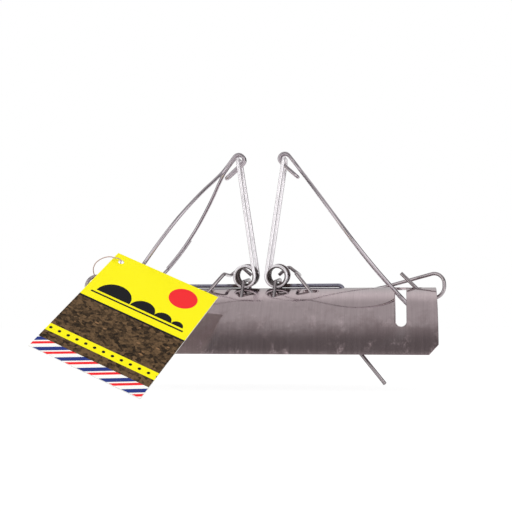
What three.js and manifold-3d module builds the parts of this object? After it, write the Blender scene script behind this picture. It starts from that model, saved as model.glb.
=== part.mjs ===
// A half-barrel tunnel mole trap, in millimetres, as it lies sprung.
// X runs along the barrel, Y across it (away from the front) and Z up.
// The origin is in the middle of the front long edge, in the plane of the two
// long edges that the barrel stands on. The routes below are written about
// the barrel's own axis, and the last group moves them to that origin.

import * as THREE from 'three';
import { mergeVertices } from 'three/addons/utils/BufferGeometryUtils.js';
import Module from 'manifold-3d';

const wasm = await Module();
wasm.setup();

// Barrel sizes

const barrelLength = 155;
const barrelRadius = 29;
const sheetThickness = 0.9;
const cornerCutLength = 3.9;
const cornerCutHeight = 4.2;
const slotWidth = 5;
const slotInset = 15.4;
const slotFootHeight = 11.4;
const bridgeWidth = 8;
const cutOverrun = 2;

// Spring sizes

const springWire = 1.6;
const coilRadius = 4.5;
const coilSpacing = 14.4;
const coilSeat = 0.1;
const turnGap = 0.42;
const swingGap = 0.08;
const armTopHeight = 87.7;
const armTopSpacing = 21.2;
const armTopWidth = 10;
const armBend = 2;
const legReach = 29.5;
const legBend = 2.2;
const legDrop = 2.1;
const holeGap = 0.4;
const legHoleGap = 0.7;

// Killing loop sizes

const loopWire = 1.6;
const loopLength = 90;
const loopWidth = 45.2;
const loopBow = 1.8;
const hookRadius = 2.4;
const hairpinWidth = 4.6;
const tailLength = 10;

// Trigger sizes

const triggerWire = 1.6;
const triggerHoleSpacing = 46.4;
const triggerHoleSide = 10;
const triggerSlotLength = 7;
const triggerSlotWidth = 3.6;
const triggerBelow = 52.5;
const triggerAbove = 11.3;
const triggerBend = 1.6;
const triggerCoilGap = 2.2;

// Retaining wire sizes

const keeperWire = 1.6;
const keeperRingRadius = 5.3;
const keeperRingInset = 1.8;
const keeperRingRise = 0.2;
const keeperHoleSide = 4.5;
const keeperHoleWidth = 4.4;
const keeperStub = 15.8;
const keeperDrift = 1.5;
const keeperElbowSide = 8.5;
const keeperElbowGap = 1;
const keeperElbowBend = 12;
const keeperTipSide = 22;
const keeperTipGap = 2.2;

// Spring staple sizes

const stapleWire = 1.6;
const stapleSeat = 0.75;
const stapleBarGap = 1.9;
const stapleBend = 2.4;
const stapleLegSide = 13.4;
const stapleLegDrop = 1.6;
const stapleFootSpread = 1.2;

// Tag sizes

const tagWidth = 49.2;
const tagHeight = 68.9;
const tagThickness = 0.5;
const tagHoleWidth = 2.4;
const tagHoleFromSide = 4.1;
const tagHoleFromTop = 4.7;
const stringWidth = 0.5;

// Slopes and angles

const degree = Math.PI / 180;
const coilRise = 0.1;
const coilTurns = 1;
const armSwing = 70 * degree;
const turnBreak = 9 * degree;
const loopLean = 38.1 * degree;
const tailTuck = 10 * degree;
const triggerLean = 39.6 * degree;
const triggerSplay = 15.5 * degree;
const keeperStubLean = 45 * degree;
const keeperArmSlope = 14.2 * degree;
const tagTurns = [41.55 * degree, 16.66 * degree, -17.08 * degree];

// Facets

const barrelFacets = 48;
const wireSides = 8;
const turnSteps = 18;
const bendStep = 18 * degree;
const holeFacets = 24;
const loopSteps = 48;

// Shares of the loop's length and of half its width, from the hook to the bottom

const loopShares = [
  [0.09, 0.075],
  [0.15, 0.22],
  [0.22, 0.46],
  [0.3, 0.68],
  [0.42, 0.91],
  [0.555, 1],
  [0.69, 0.94],
  [0.82, 0.79],
  [0.9, 0.64],
  [0.955, 0.45],
  [0.99, 0.22],
  [1, 0],
];
const lapStartShare = 0.69;
const lapEndShare = 0.49;
const lapEaseShare = 0.1;
const loopBowPowerShare = 1.6;

// The share of the retaining wire's ring at which its corners are bent

const keeperBendShare = 0.97;

// Shares of the coil's radius, along and up from the coil's axis, for the trigger's head

const triggerHookShares = [
  [0.85, 1.05],
  [-0.18, 0.16],
];

// The tag string's route, and where the tag's hole hangs on it, chosen by hand
// about the barrel's own axis

const tagHolePlace = [-57.8, -28.2, 39.4];
const stringRoute = [
  [-58.6, -26.6, 37.6],
  [-58, -27.9, 39.2],
  [-57.6, -29.2, 40.4],
  [-58.8, -29.7, 41.1],
  [-60.5, -29.2, 41.4],
  [-62.3, -27.8, 41.9],
  [-64.6, -25.5, 42.1],
  [-67.5, -22.9, 41.8],
  [-70.1, -20.5, 41.1],
  [-73.1, -17, 39.7],
  [-75.1, -13.6, 37.5],
  [-75.8, -10.4, 35.5],
  [-75.9, -7.2, 33.8],
  [-75.8, -4.4, 33.1],
  [-76, -2, 33.2],
  [-76.4, -1.1, 33.6],
  [-76.6, -0.6, 34.5],
  [-76.5, -0.8, 35.5],
  [-76.1, -1.5, 36.1],
  [-75.5, -2.7, 36.3],
  [-74.6, -4.7, 36.3],
  [-71.5, -11, 37.1],
  [-66, -17.5, 37.5],
  [-62, -22.2, 37.2],
  [-59.9, -24.9, 36.4],
];
const stringSteps = 78;

// Sizes that follow from those above

const sheetMiddle = barrelRadius - sheetThickness / 2;
const turnStep = springWire + turnGap;
const legSide = turnStep / 2;
const coilAxisX = coilSpacing / 2;
const coilAxisHeight = barrelRadius + coilSeat + springWire / 2 + coilRadius + coilRise * legSide;
const loopAxisX = armTopSpacing / 2;
const slotX = barrelLength / 2 - slotInset;
const legHoleX = coilAxisX + legReach;
const strandSide = (hairpinWidth - loopWire) / 2;
const lapStep = loopWire + turnGap;
const triggerHoleX = triggerHoleSpacing / 2;
const keeperRingX = barrelLength / 2 - keeperRingInset;
const keeperRingHeight = barrelRadius + keeperRingRise;

// Points and routes

function xyz(x, y, z) {
  return new THREE.Vector3(x, y, z);
}

function onSide(side, points) {
  return points.map((point) => xyz(side * point.x, point.y, point.z));
}

function heading(from, to) {
  return to.clone().sub(from).normalize();
}

function roofHeight(radius, y) {
  return Math.sqrt(radius * radius - y * y);
}

// A curve whose steps are the points of a list, so that an extrusion meets each one

class Route extends THREE.Curve {
  constructor(points) {
    super();
    this.points = points;
  }

  getPoint(share) {
    return this.points[Math.round(share * (this.points.length - 1))].clone();
  }

  getPointAt(share) {
    return this.getPoint(share);
  }

  getTangentAt(share) {
    const last = this.points.length - 1;
    const index = Math.round(share * last);
    const before = Math.min(Math.max(index - 1, 0), last - 1);
    const after = Math.min(index, last - 1);
    const arriving = heading(this.points[before], this.points[before + 1]);
    const leaving = heading(this.points[after], this.points[after + 1]);
    return arriving.add(leaving).normalize();
  }
}

// The points of one round bend between two straight stretches

function bendPoints(before, corner, after, bend) {
  const back = heading(corner, before);
  const ahead = heading(corner, after);
  const half = back.angleTo(ahead) / 2;
  const inward = back.clone().add(ahead).normalize();
  const centre = corner.clone().addScaledVector(inward, bend / Math.sin(half));
  const start = corner.clone().addScaledVector(back, bend / Math.tan(half));
  const outward = heading(centre, start);
  const turn = Math.PI - 2 * half;
  const steps = Math.max(2, Math.ceil(turn / bendStep));
  const points = [];
  for (let step = 0; step <= steps; step += 1) {
    const angle = (turn * step) / steps;
    const point = centre.clone().addScaledVector(outward, bend * Math.cos(angle));
    points.push(point.addScaledVector(back, -bend * Math.sin(angle)));
  }
  return points;
}

function bentRoute(corners, bends) {
  const inner = corners.slice(1, -1).flatMap((corner, index) => (
    bendPoints(corners[index], corner, corners[index + 2], bends[index])
  ));
  return [corners[0], ...inner, corners[corners.length - 1]];
}

function wire(points, thickness) {
  const corners = [];
  for (let index = 0; index < wireSides; index += 1) {
    const angle = (index + 0.5) * ((2 * Math.PI) / wireSides);
    corners.push(new THREE.Vector2(Math.cos(angle), Math.sin(angle)).multiplyScalar(thickness / 2));
  }
  return new THREE.ExtrudeGeometry(new THREE.Shape(corners), {
    steps: points.length - 1,
    extrudePath: new Route(points),
  });
}

// Solids that are cut with manifold-3d

function toManifold(geometry) {
  const plain = geometry.clone();
  plain.deleteAttribute('normal');
  plain.deleteAttribute('uv');
  const merged = mergeVertices(plain);
  return new wasm.Manifold(new wasm.Mesh({
    numProp: 3,
    vertProperties: new Float32Array(merged.attributes.position.array),
    triVerts: new Uint32Array(merged.index.array),
  }));
}

function toGeometry(solid) {
  const mesh = solid.getMesh();
  const geometry = new THREE.BufferGeometry();
  geometry.setAttribute('position', new THREE.BufferAttribute(mesh.vertProperties, 3));
  geometry.setIndex(new THREE.BufferAttribute(mesh.triVerts, 1));
  const flat = geometry.toNonIndexed();
  flat.computeVertexNormals();
  return flat;
}

function cutAway(geometry, cutters) {
  const cut = cutters.reduce((solid, cutter) => solid.subtract(toManifold(cutter)), toManifold(geometry));
  return toGeometry(cut);
}

// A slot or round hole, as a solid that runs along its own z from zero

function slotCutter(length, width, depth) {
  const reach = Math.max(length - width, 0) / 2;
  const outline = new THREE.Shape();
  outline.absarc(reach, 0, width / 2, -Math.PI / 2, Math.PI / 2, false);
  outline.absarc(-reach, 0, width / 2, Math.PI / 2, (3 * Math.PI) / 2, false);
  return new THREE.ExtrudeGeometry(outline, {
    depth,
    bevelEnabled: false,
    curveSegments: holeFacets / 2,
  });
}

// A slot straight down through the roof, its length along X or along Y

function roofSlot(x, y, length, width, alongY) {
  const cutter = slotCutter(length, width, barrelRadius);
  if (alongY) {
    cutter.rotateZ(Math.PI / 2);
  }
  return cutter.translate(x, y, cutOverrun);
}

// Barrel

function halfTube() {
  const outline = new THREE.Shape();
  outline.absarc(0, 0, barrelRadius, 0, Math.PI, false);
  outline.absarc(0, 0, barrelRadius - sheetThickness, Math.PI, 0, true);
  const tube = new THREE.ExtrudeGeometry(outline, {
    depth: barrelLength,
    bevelEnabled: false,
    curveSegments: barrelFacets,
  });
  const lie = new THREE.Matrix4().makeBasis(xyz(0, 1, 0), xyz(0, 0, 1), xyz(1, 0, 0));
  return tube.applyMatrix4(lie).translate(-barrelLength / 2, 0, 0);
}

// A slanting cut across a corner of both long edges

function cornerCut(side) {
  const end = barrelLength / 2;
  const across = 2 * (barrelRadius + cutOverrun);
  const outline = new THREE.Shape();
  outline.moveTo(end - cornerCutLength, 0);
  outline.lineTo(end - cornerCutLength, -cutOverrun);
  outline.lineTo(end + cutOverrun, -cutOverrun);
  outline.lineTo(end + cutOverrun, cornerCutHeight);
  outline.lineTo(end, cornerCutHeight);
  const cutter = new THREE.ExtrudeGeometry(outline, { depth: across, bevelEnabled: false });
  cutter.rotateX(Math.PI / 2);
  cutter.translate(0, across / 2, 0);
  if (side < 0) {
    cutter.rotateZ(Math.PI);
  }
  return cutter;
}

function loopSlot(side, wall) {
  const outline = new THREE.Shape();
  const half = slotWidth / 2;
  const foot = slotFootHeight + half;
  const top = barrelRadius + cutOverrun;
  outline.moveTo(half, foot);
  outline.lineTo(half, top);
  outline.lineTo(-half, top);
  outline.lineTo(-half, foot);
  outline.absarc(0, foot, half, Math.PI, 2 * Math.PI, false);
  const cutter = new THREE.ExtrudeGeometry(outline, {
    depth: top - bridgeWidth / 2,
    bevelEnabled: false,
    curveSegments: holeFacets / 2,
  });
  const middle = (top + bridgeWidth / 2) / 2;
  cutter.rotateX(Math.PI / 2);
  return cutter.translate(side * slotX, wall * middle + (top - bridgeWidth / 2) / 2, 0);
}

function barrelGeometry() {
  const legWidth = springWire + 2 * legHoleGap;
  const stapleWidth = stapleWire + 2 * holeGap;
  const cutters = [];
  for (const side of [-1, 1]) {
    cutters.push(cornerCut(side));
    cutters.push(loopSlot(side, -1));
    cutters.push(loopSlot(side, 1));
    cutters.push(roofSlot(side * triggerHoleX, -triggerHoleSide, triggerSlotLength, triggerSlotWidth, false));
    cutters.push(roofSlot(side * legHoleX, 0, turnStep + legWidth, legWidth, true));
    cutters.push(roofSlot(side * keeperHoleX(), -keeperHoleSide, keeperHoleWidth, keeperHoleWidth, false));
    for (const wall of [-1, 1]) {
      const hole = stapleHole(wall);
      cutters.push(roofSlot(side * coilAxisX, hole.side, hole.length, stapleWidth, true));
    }
  }
  return cutAway(halfTube(), cutters);
}

// Springs. A coil's centre line, with its axis rising a little toward the back

function coilHeight(y) {
  return coilAxisHeight + coilRise * y;
}

function coilPoint(angle, y) {
  return xyz(
    coilAxisX + coilRadius * Math.cos(angle),
    y,
    coilHeight(y) + coilRadius * Math.sin(angle),
  );
}

function coilPoints(startAngle, turns, startSide, end) {
  const steps = Math.ceil(turnSteps * turns);
  const points = [];
  for (let step = 0; step <= steps; step += 1) {
    const turned = (turns * step) / steps;
    points.push(coilPoint(startAngle + 2 * Math.PI * turned, end * (startSide - turnStep * turned)));
  }
  return points;
}

// The angle round the coil at which an arm leaves it for the crossbar

function armAngle(side) {
  const across = loopAxisX - coilAxisX;
  const up = armTopHeight - coilHeight(side);
  const lean = Math.atan2(across, up) + Math.asin(coilRadius / Math.hypot(across, up));
  return Math.PI - lean;
}

function fixedTurns(side) {
  return coilTurns + (1.5 * Math.PI - armAngle(side)) / (2 * Math.PI);
}

function fixedStart() {
  return legSide + turnStep * fixedTurns(0);
}

function armStart() {
  return fixedStart() + turnStep * (coilTurns + armSwing / (2 * Math.PI)) + swingGap;
}

function armHalf(end) {
  const turns = coilTurns - turnBreak / (2 * Math.PI);
  const coil = coilPoints(armAngle(end * armStart()), turns, armStart(), end);
  return coil.reverse();
}

function springArms(side) {
  const front = armHalf(-1);
  const rear = armHalf(1).reverse();
  const frontTop = xyz(loopAxisX, -armTopWidth / 2, armTopHeight);
  const rearTop = xyz(loopAxisX, armTopWidth / 2, armTopHeight);
  const over = bentRoute([front[front.length - 1], frontTop, rearTop, rear[0]], [armBend, armBend]);
  const route = [...front, ...over.slice(1, -1), ...rear];
  return wire(onSide(side, route), springWire);
}

function springCoil(side, end) {
  const coil = coilPoints(armAngle(0), fixedTurns(0), fixedStart(), end);
  const foot = coil[coil.length - 1];
  const corner = xyz(legHoleX, foot.y, foot.z);
  const tip = xyz(legHoleX, foot.y, barrelRadius - sheetThickness - legDrop);
  const leg = bentRoute([foot, corner, tip], [legBend]);
  return wire(onSide(side, [...coil, ...leg.slice(1)]), springWire);
}

// Killing loops. A place on the loop is told by how far it lies from the hook
// along the loop, to its side, and off its plane

function loopPlace(along, side, off) {
  const down = xyz(Math.sin(loopLean), 0, -Math.cos(loopLean));
  const out = xyz(Math.cos(loopLean), 0, Math.sin(loopLean));
  const place = xyz(loopAxisX, side, armTopHeight);
  return place.addScaledVector(down, along).addScaledVector(out, off);
}

function loopBowAt(along) {
  return loopBow * Math.sin(Math.PI * (along / loopLength) ** loopBowPowerShare);
}

function loopOutline() {
  const shank = [[0, strandSide, hookRadius]];
  const places = loopShares.map(([along, side]) => [along * loopLength, (side * loopWidth) / 2]);
  const curve = new THREE.CatmullRomCurve3([
    xyz(0, strandSide, 0),
    ...places.map(([along, side]) => xyz(along, side, 0)),
  ]);
  return shank.concat(curve.getSpacedPoints(loopSteps).slice(1).map((place) => (
    [place.x, place.y, hookRadius - loopBowAt(place.x)]
  )));
}

function lapEase(along) {
  const eased = (lapStartShare + lapEaseShare - along / loopLength) / lapEaseShare;
  return lapStep * THREE.MathUtils.smoothstep(eased, 0, 1);
}

function loopHook(end) {
  const points = [];
  const turn = Math.PI + tailTuck;
  const steps = Math.ceil(turn / bendStep);
  for (let step = 1; step <= steps; step += 1) {
    const angle = (turn * step) / steps;
    points.push(loopPlace(-hookRadius * Math.sin(angle), end * strandSide, hookRadius * Math.cos(angle)));
  }
  return points;
}

function loopTail() {
  const turn = Math.PI + tailTuck;
  const start = [-hookRadius * Math.sin(turn), hookRadius * Math.cos(turn)];
  const points = [];
  const steps = Math.ceil(Math.PI / bendStep);
  for (let step = 0; step <= steps; step += 1) {
    const angle = Math.PI / 2 - (Math.PI * step) / steps;
    const reach = tailLength - strandSide + strandSide * Math.cos(angle);
    const along = start[0] + reach * Math.cos(tailTuck);
    const off = start[1] + reach * Math.sin(tailTuck);
    points.push(loopPlace(along, strandSide * Math.sin(angle), off));
  }
  return points;
}

function killingLoop(side) {
  const outline = loopOutline();
  const farInner = outline.filter(([along]) => along < lapStartShare * loopLength).reverse();
  const farOuter = outline.filter(([along]) => along > lapEndShare * loopLength).reverse();
  const route = [
    ...farInner.map(([along, reach, off]) => loopPlace(along, reach, off)),
    ...loopHook(1),
    ...loopTail(),
    ...loopHook(-1).reverse(),
    ...outline.map(([along, reach, off]) => loopPlace(along, -reach, off)),
    ...farOuter.slice(1).map(([along, reach, off]) => loopPlace(along, reach + lapEase(along), off)),
  ];
  return wire(onSide(side, route), loopWire);
}

// Triggers

function triggerHole() {
  return xyz(triggerHoleX, -triggerHoleSide, roofHeight(sheetMiddle, triggerHoleSide));
}

function triggerPin(side) {
  const down = xyz(
    Math.sin(triggerLean) * Math.cos(triggerSplay),
    -Math.sin(triggerSplay),
    -Math.cos(triggerLean) * Math.cos(triggerSplay),
  );
  const tip = triggerHole().addScaledVector(down, triggerBelow);
  const knob = triggerHole().addScaledVector(down, -triggerAbove);
  const back = armStart() + springWire / 2 + triggerCoilGap + triggerWire / 2;
  const heel = xyz(knob.x, back, knob.z);
  const hook = triggerHookShares.map(([along, up]) => (
    xyz(coilAxisX + along * coilRadius, back, coilAxisHeight + up * coilRadius)
  ));
  const bends = [triggerBend, triggerBend, triggerBend];
  return wire(onSide(side, bentRoute([tip, knob, heel, ...hook], bends)), triggerWire);
}

// Retaining wires. The ring's corners stand about its circle, one between each
// two directions in which the wire runs straight

function keeperRingCorner(fromAngle, toAngle, drift) {
  const middle = (fromAngle + toAngle) / 2;
  const reach = keeperRingRadius / Math.cos((toAngle - fromAngle) / 2);
  return xyz(
    keeperRingX + reach * Math.cos(middle),
    -keeperHoleSide - keeperDrift * drift,
    keeperRingHeight + reach * Math.sin(middle),
  );
}

// Where the ring's first straight stretch passes through the roof

function keeperHoleX() {
  const start = xyz(
    keeperRingX - keeperRingRadius * Math.sin(keeperStubLean),
    0,
    keeperRingHeight - keeperRingRadius * Math.cos(keeperStubLean),
  );
  const rise = roofHeight(sheetMiddle, keeperHoleSide) - start.z;
  return start.x - rise / Math.tan(keeperStubLean);
}

function keeperRoute() {
  const start = 1.5 * Math.PI - keeperStubLean;
  const bottom = keeperRingCorner(start, 1.5 * Math.PI, 0);
  const outer = keeperRingCorner(1.5 * Math.PI, 2 * Math.PI, 1);
  const top = keeperRingCorner(2 * Math.PI, 2.5 * Math.PI + keeperArmSlope, 0);
  const stub = bottom.clone().add(
    xyz(-Math.cos(keeperStubLean), 0, Math.sin(keeperStubLean)).multiplyScalar(keeperStub),
  );
  const elbowRadius = barrelRadius + keeperElbowGap + keeperWire / 2;
  const elbowHeight = roofHeight(elbowRadius, keeperElbowSide);
  const elbow = xyz(
    top.x - (top.z - elbowHeight) / Math.tan(keeperArmSlope),
    keeperElbowSide,
    elbowHeight,
  );
  const tipRadius = barrelRadius + keeperTipGap + keeperWire / 2;
  const tip = xyz(
    triggerHoleX,
    keeperTipSide,
    roofHeight(tipRadius, keeperTipSide),
  );
  const ring = keeperBendShare * keeperRingRadius;
  return bentRoute([stub, bottom, outer, top, elbow, tip], [ring, ring, ring, keeperElbowBend]);
}

function retainingWire(side) {
  return wire(onSide(side, keeperRoute()), keeperWire);
}

// Spring staples. A bar along the coils' bore, with a leg down through the roof at each end

function stapleBarHeight(y) {
  return coilHeight(y) - coilRadius + springWire / 2 + stapleSeat + stapleWire / 2;
}

function stapleRoute() {
  const reach = armStart() + springWire / 2 + stapleBarGap;
  const foot = (wall) => xyz(
    coilAxisX,
    wall * (stapleLegSide + stapleFootSpread),
    roofHeight(barrelRadius - sheetThickness, stapleLegSide) - stapleLegDrop,
  );
  const barEnd = (wall) => xyz(coilAxisX, wall * reach, stapleBarHeight(wall * reach));
  return bentRoute([foot(-1), barEnd(-1), barEnd(1), foot(1)], [stapleBend, stapleBend]);
}

// The hole that a slanting leg needs: its middle, and its length along Y

function stapleHole(wall) {
  const route = stapleRoute();
  const foot = wall < 0 ? route[0] : route[route.length - 1];
  const above = wall < 0 ? route[1] : route[route.length - 2];
  const leg = heading(foot, above);
  const along = foot.y * leg.y + foot.z * leg.z;
  const beyond = sheetMiddle ** 2 - foot.y ** 2 - foot.z ** 2;
  const middle = foot.clone().addScaledVector(leg, Math.sqrt(along ** 2 + beyond) - along);
  const slant = heading(xyz(0, 0, 0), xyz(0, middle.y, middle.z)).angleTo(leg);
  const across = stapleWire / Math.cos(slant) + sheetThickness * Math.tan(slant);
  return { side: middle.y, length: across * (middle.z / sheetMiddle) + 2 * holeGap };
}

function springStaple(side) {
  return wire(onSide(side, stapleRoute()), stapleWire);
}

// Tag and string

function tagCard() {
  const outline = new THREE.Shape();
  outline.moveTo(0, 0);
  outline.lineTo(0, -tagHeight);
  outline.lineTo(tagWidth, -tagHeight);
  outline.lineTo(tagWidth, 0);
  const hole = new THREE.Path();
  hole.absarc(tagHoleFromSide, -tagHoleFromTop, tagHoleWidth / 2, 0, 2 * Math.PI, true);
  outline.holes.push(hole);
  const card = new THREE.ExtrudeGeometry(outline, {
    depth: tagThickness,
    bevelEnabled: false,
    curveSegments: holeFacets,
  });
  return card.translate(-tagHoleFromSide, tagHoleFromTop, -tagThickness / 2);
}

function tagString() {
  const curve = new THREE.CatmullRomCurve3(stringRoute.map(([x, y, z]) => xyz(x, y, z)));
  return wire(curve.getSpacedPoints(stringSteps), stringWidth);
}

// Materials

function steel(colour, roughness) {
  return new THREE.MeshStandardMaterial({ color: colour, roughness, metalness: 0.9 });
}

function paper() {
  return new THREE.MeshStandardMaterial({ color: 0xe8dc1c, roughness: 0.45, metalness: 0 });
}

function twine() {
  return new THREE.MeshStandardMaterial({ color: 0xc9a898, roughness: 0.8, metalness: 0 });
}

// The least room between a coiled wire's own turns, measured on its centre line

function leastTurnRoom(points) {
  let least = Infinity;
  for (let first = 0; first < points.length; first += 1) {
    let travelled = 0;
    for (let second = first + 1; second < points.length; second += 1) {
      travelled += points[second].distanceTo(points[second - 1]);
      if (travelled > Math.PI * coilRadius) {
        least = Math.min(least, points[first].distanceTo(points[second]));
      }
    }
  }
  return least - springWire;
}

// The whole trap

function node(name, geometry, material) {
  const mesh = new THREE.Mesh(geometry, material);
  mesh.name = name;
  return mesh;
}

function sidePieces(name, side) {
  return [
    node(`${name}_spring_arms`, springArms(side), steel(0xc9bfc4, 0.3)),
    node(`${name}_spring_front_coil`, springCoil(side, -1), steel(0xb7adb3, 0.32)),
    node(`${name}_spring_rear_coil`, springCoil(side, 1), steel(0xb7adb3, 0.32)),
    node(`${name}_killing_loop`, killingLoop(side), steel(0xaea3a8, 0.34)),
    node(`${name}_trigger_pin`, triggerPin(side), steel(0xa89fa6, 0.36)),
    node(`${name}_retaining_wire`, retainingWire(side), steel(0x9d969f, 0.36)),
    node(`${name}_spring_staple`, springStaple(side), steel(0xb0a8ae, 0.34)),
  ];
}

function tagPieces() {
  const card = node('tag_card', tagCard(), paper());
  card.rotation.set(...tagTurns);
  card.position.set(...tagHolePlace);
  return [card, node('tag_string', tagString(), twine())];
}

const trap = new THREE.Group();
trap.add(node('barrel', barrelGeometry(), steel(0x9a8f93, 0.4)));
trap.add(...sidePieces('left', -1), ...sidePieces('right', 1));
trap.add(...tagPieces());
trap.position.y = sheetMiddle;

const room = Math.min(
  leastTurnRoom(armHalf(-1)),
  leastTurnRoom(coilPoints(armAngle(0), fixedTurns(0), fixedStart(), -1)),
);
console.log(`least room between turns ${room.toFixed(3)} mm`);

const part = new THREE.Group();
part.add(trap);

export default part;
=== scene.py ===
# A half-barrel tunnel mole trap with a paper tag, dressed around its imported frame.
# Lengths are in metres. X runs along the barrel, Y away from its front, Z up.
# Routes are written about the barrel's own axis, and laid() moves them to the frame.

import math

import bmesh
import bpy
from mathutils import Matrix, Vector
from mathutils.geometry import delaunay_2d_cdt


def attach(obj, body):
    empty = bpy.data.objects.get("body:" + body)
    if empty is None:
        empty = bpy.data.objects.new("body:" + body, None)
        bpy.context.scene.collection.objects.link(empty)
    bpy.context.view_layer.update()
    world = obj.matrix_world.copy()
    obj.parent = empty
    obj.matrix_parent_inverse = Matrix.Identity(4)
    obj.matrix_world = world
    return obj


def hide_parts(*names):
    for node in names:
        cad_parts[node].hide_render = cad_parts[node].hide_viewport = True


bl_info = {
    "name": "Mole Tunnel Trap",
    "version": (1, 0, 0),
    "blender": (4, 5, 0),
    "location": "View3D > Sidebar > Mole Trap",
    "description": "Builds a half-barrel mole trap around its packed frame",
    "category": "Add Mesh",
}

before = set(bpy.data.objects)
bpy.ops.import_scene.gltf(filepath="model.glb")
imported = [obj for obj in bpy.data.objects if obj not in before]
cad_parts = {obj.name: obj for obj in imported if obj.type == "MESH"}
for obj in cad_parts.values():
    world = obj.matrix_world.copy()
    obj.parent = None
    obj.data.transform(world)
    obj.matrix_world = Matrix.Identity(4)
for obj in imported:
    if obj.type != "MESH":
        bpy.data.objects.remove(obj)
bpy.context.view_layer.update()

SIDES = (("left", -1), ("right", 1))
PLACE = "place"

# The picture's width in pixels, and the width of the camera's sensor in millimetres

PIXELS = 512
SENSOR = 36

# How finely everything is stepped

WIRE_SIDES = 20
CORD_SIDES = 12
BEND_STEP = math.radians(6)
TURN_STEPS = 60
LOOP_STEPS = 120
STRING_STEPS = 156
KNOT_TURN_STEPS = 30
CURVE_SAMPLES = 600
SLOT_STEPS = 14
HOLE_STEPS = 12
TAG_HOLE_STEPS = 18
SHEET_PITCH = (0.0013, 0.0011)
CARD_PITCH = (0.004, 0.004)
SHARP_EDGE = math.radians(35)

# Angles about an axis that runs to the back: below it, beyond it and above it

BELOW = 1.5 * math.pi
BEYOND = 2 * math.pi
ABOVE = 2.5 * math.pi

# Shares of the loop's length and of half its width, from the hook to the bottom

LOOP_SHARES = (
    (0.09, 0.075),
    (0.15, 0.22),
    (0.22, 0.46),
    (0.3, 0.68),
    (0.42, 0.91),
    (0.555, 1),
    (0.69, 0.94),
    (0.82, 0.79),
    (0.9, 0.64),
    (0.955, 0.45),
    (0.99, 0.22),
    (1, 0),
)

# Shares of the coil's radius, along and up from the coil's axis, for the trigger's head

TRIGGER_HOOK_SHARES = ((0.85, 1.05), (-0.18, 0.16))

# The tag string's route, and where the tag's hole hangs on it

TAG_HOLE_PLACE = (-0.0578, -0.0282, 0.0394)
STRING_ROUTE = (
    (-0.0586, -0.0266, 0.0376),
    (-0.058, -0.0279, 0.0392),
    (-0.0576, -0.0292, 0.0404),
    (-0.0588, -0.0297, 0.0411),
    (-0.0605, -0.0292, 0.0414),
    (-0.0623, -0.0278, 0.0419),
    (-0.0646, -0.0255, 0.0421),
    (-0.0675, -0.0229, 0.0418),
    (-0.0701, -0.0205, 0.0411),
    (-0.0731, -0.017, 0.0397),
    (-0.0751, -0.0136, 0.0375),
    (-0.0758, -0.0104, 0.0355),
    (-0.0759, -0.0072, 0.0338),
    (-0.0758, -0.0044, 0.0331),
    (-0.076, -0.002, 0.0332),
    (-0.0764, -0.0011, 0.0336),
    (-0.0766, -0.0006, 0.0345),
    (-0.0765, -0.0008, 0.0355),
    (-0.0761, -0.0015, 0.0361),
    (-0.0755, -0.0027, 0.0363),
    (-0.0746, -0.0047, 0.0363),
    (-0.0715, -0.011, 0.0371),
    (-0.066, -0.0175, 0.0375),
    (-0.062, -0.0222, 0.0372),
    (-0.0599, -0.0249, 0.0364),
)


# Kinds of property


def metres(name, description, default):
    """A length that a user may change."""
    return bpy.props.FloatProperty(
        name=name, description=description, default=default, precision=5, unit="LENGTH"
    )


def turned(name, description, degrees):
    """An angle that a user may change, given here in degrees."""
    return bpy.props.FloatProperty(
        name=name, description=description, default=math.radians(degrees), unit="ROTATION"
    )


def share(name, description, default):
    """A plain number that a user may change."""
    return bpy.props.FloatProperty(name=name, description=description, default=default)


def colour(name, description, default):
    """A colour that a user may change."""
    return bpy.props.FloatVectorProperty(
        name=name, description=description, default=default, size=3, min=0, max=1, subtype="COLOR"
    )


# Sizes and colours


class BarrelSizes(bpy.types.PropertyGroup):
    """Sizes of the punched and rolled sheet"""

    length: metres("Length", "Length of the barrel", 0.155)
    radius: metres("Radius", "Outside radius of the half barrel", 0.029)
    thickness: metres("Thickness", "Thickness of the sheet", 0.0009)
    cut_length: metres("Corner Cut Length", "Corner cut along the long edge", 0.0039)
    cut_height: metres("Corner Cut Height", "Corner cut up the end", 0.0042)
    slot_width: metres("Slot Width", "Width of a killing loop's slot", 0.005)
    slot_inset: metres("Slot Inset", "From the barrel's end to a slot's middle", 0.0154)
    slot_foot: metres("Slot Foot", "Height of a slot's lower end", 0.0114)
    bridge: metres("Bridge", "Sheet left between a front and a rear slot", 0.008)
    rim: metres("Rim", "Width of the eased rim of every cut", 0.00012)
    waviness: metres("Waviness", "Unevenness of the rolled sheet", 0.00005)
    dent_reach: metres("Dent Reach", "How far the sheet dips round a staple's leg", 0.0038)
    dent_depth: metres("Dent Depth", "How deep the sheet dips at a staple's leg", 0.0002)

    @property
    def middle(self):
        """Radius of the middle of the sheet"""
        return self.radius - self.thickness / 2

    @property
    def slot_x(self):
        """Place of a killing loop's slot along the barrel"""
        return self.length / 2 - self.slot_inset


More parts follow.
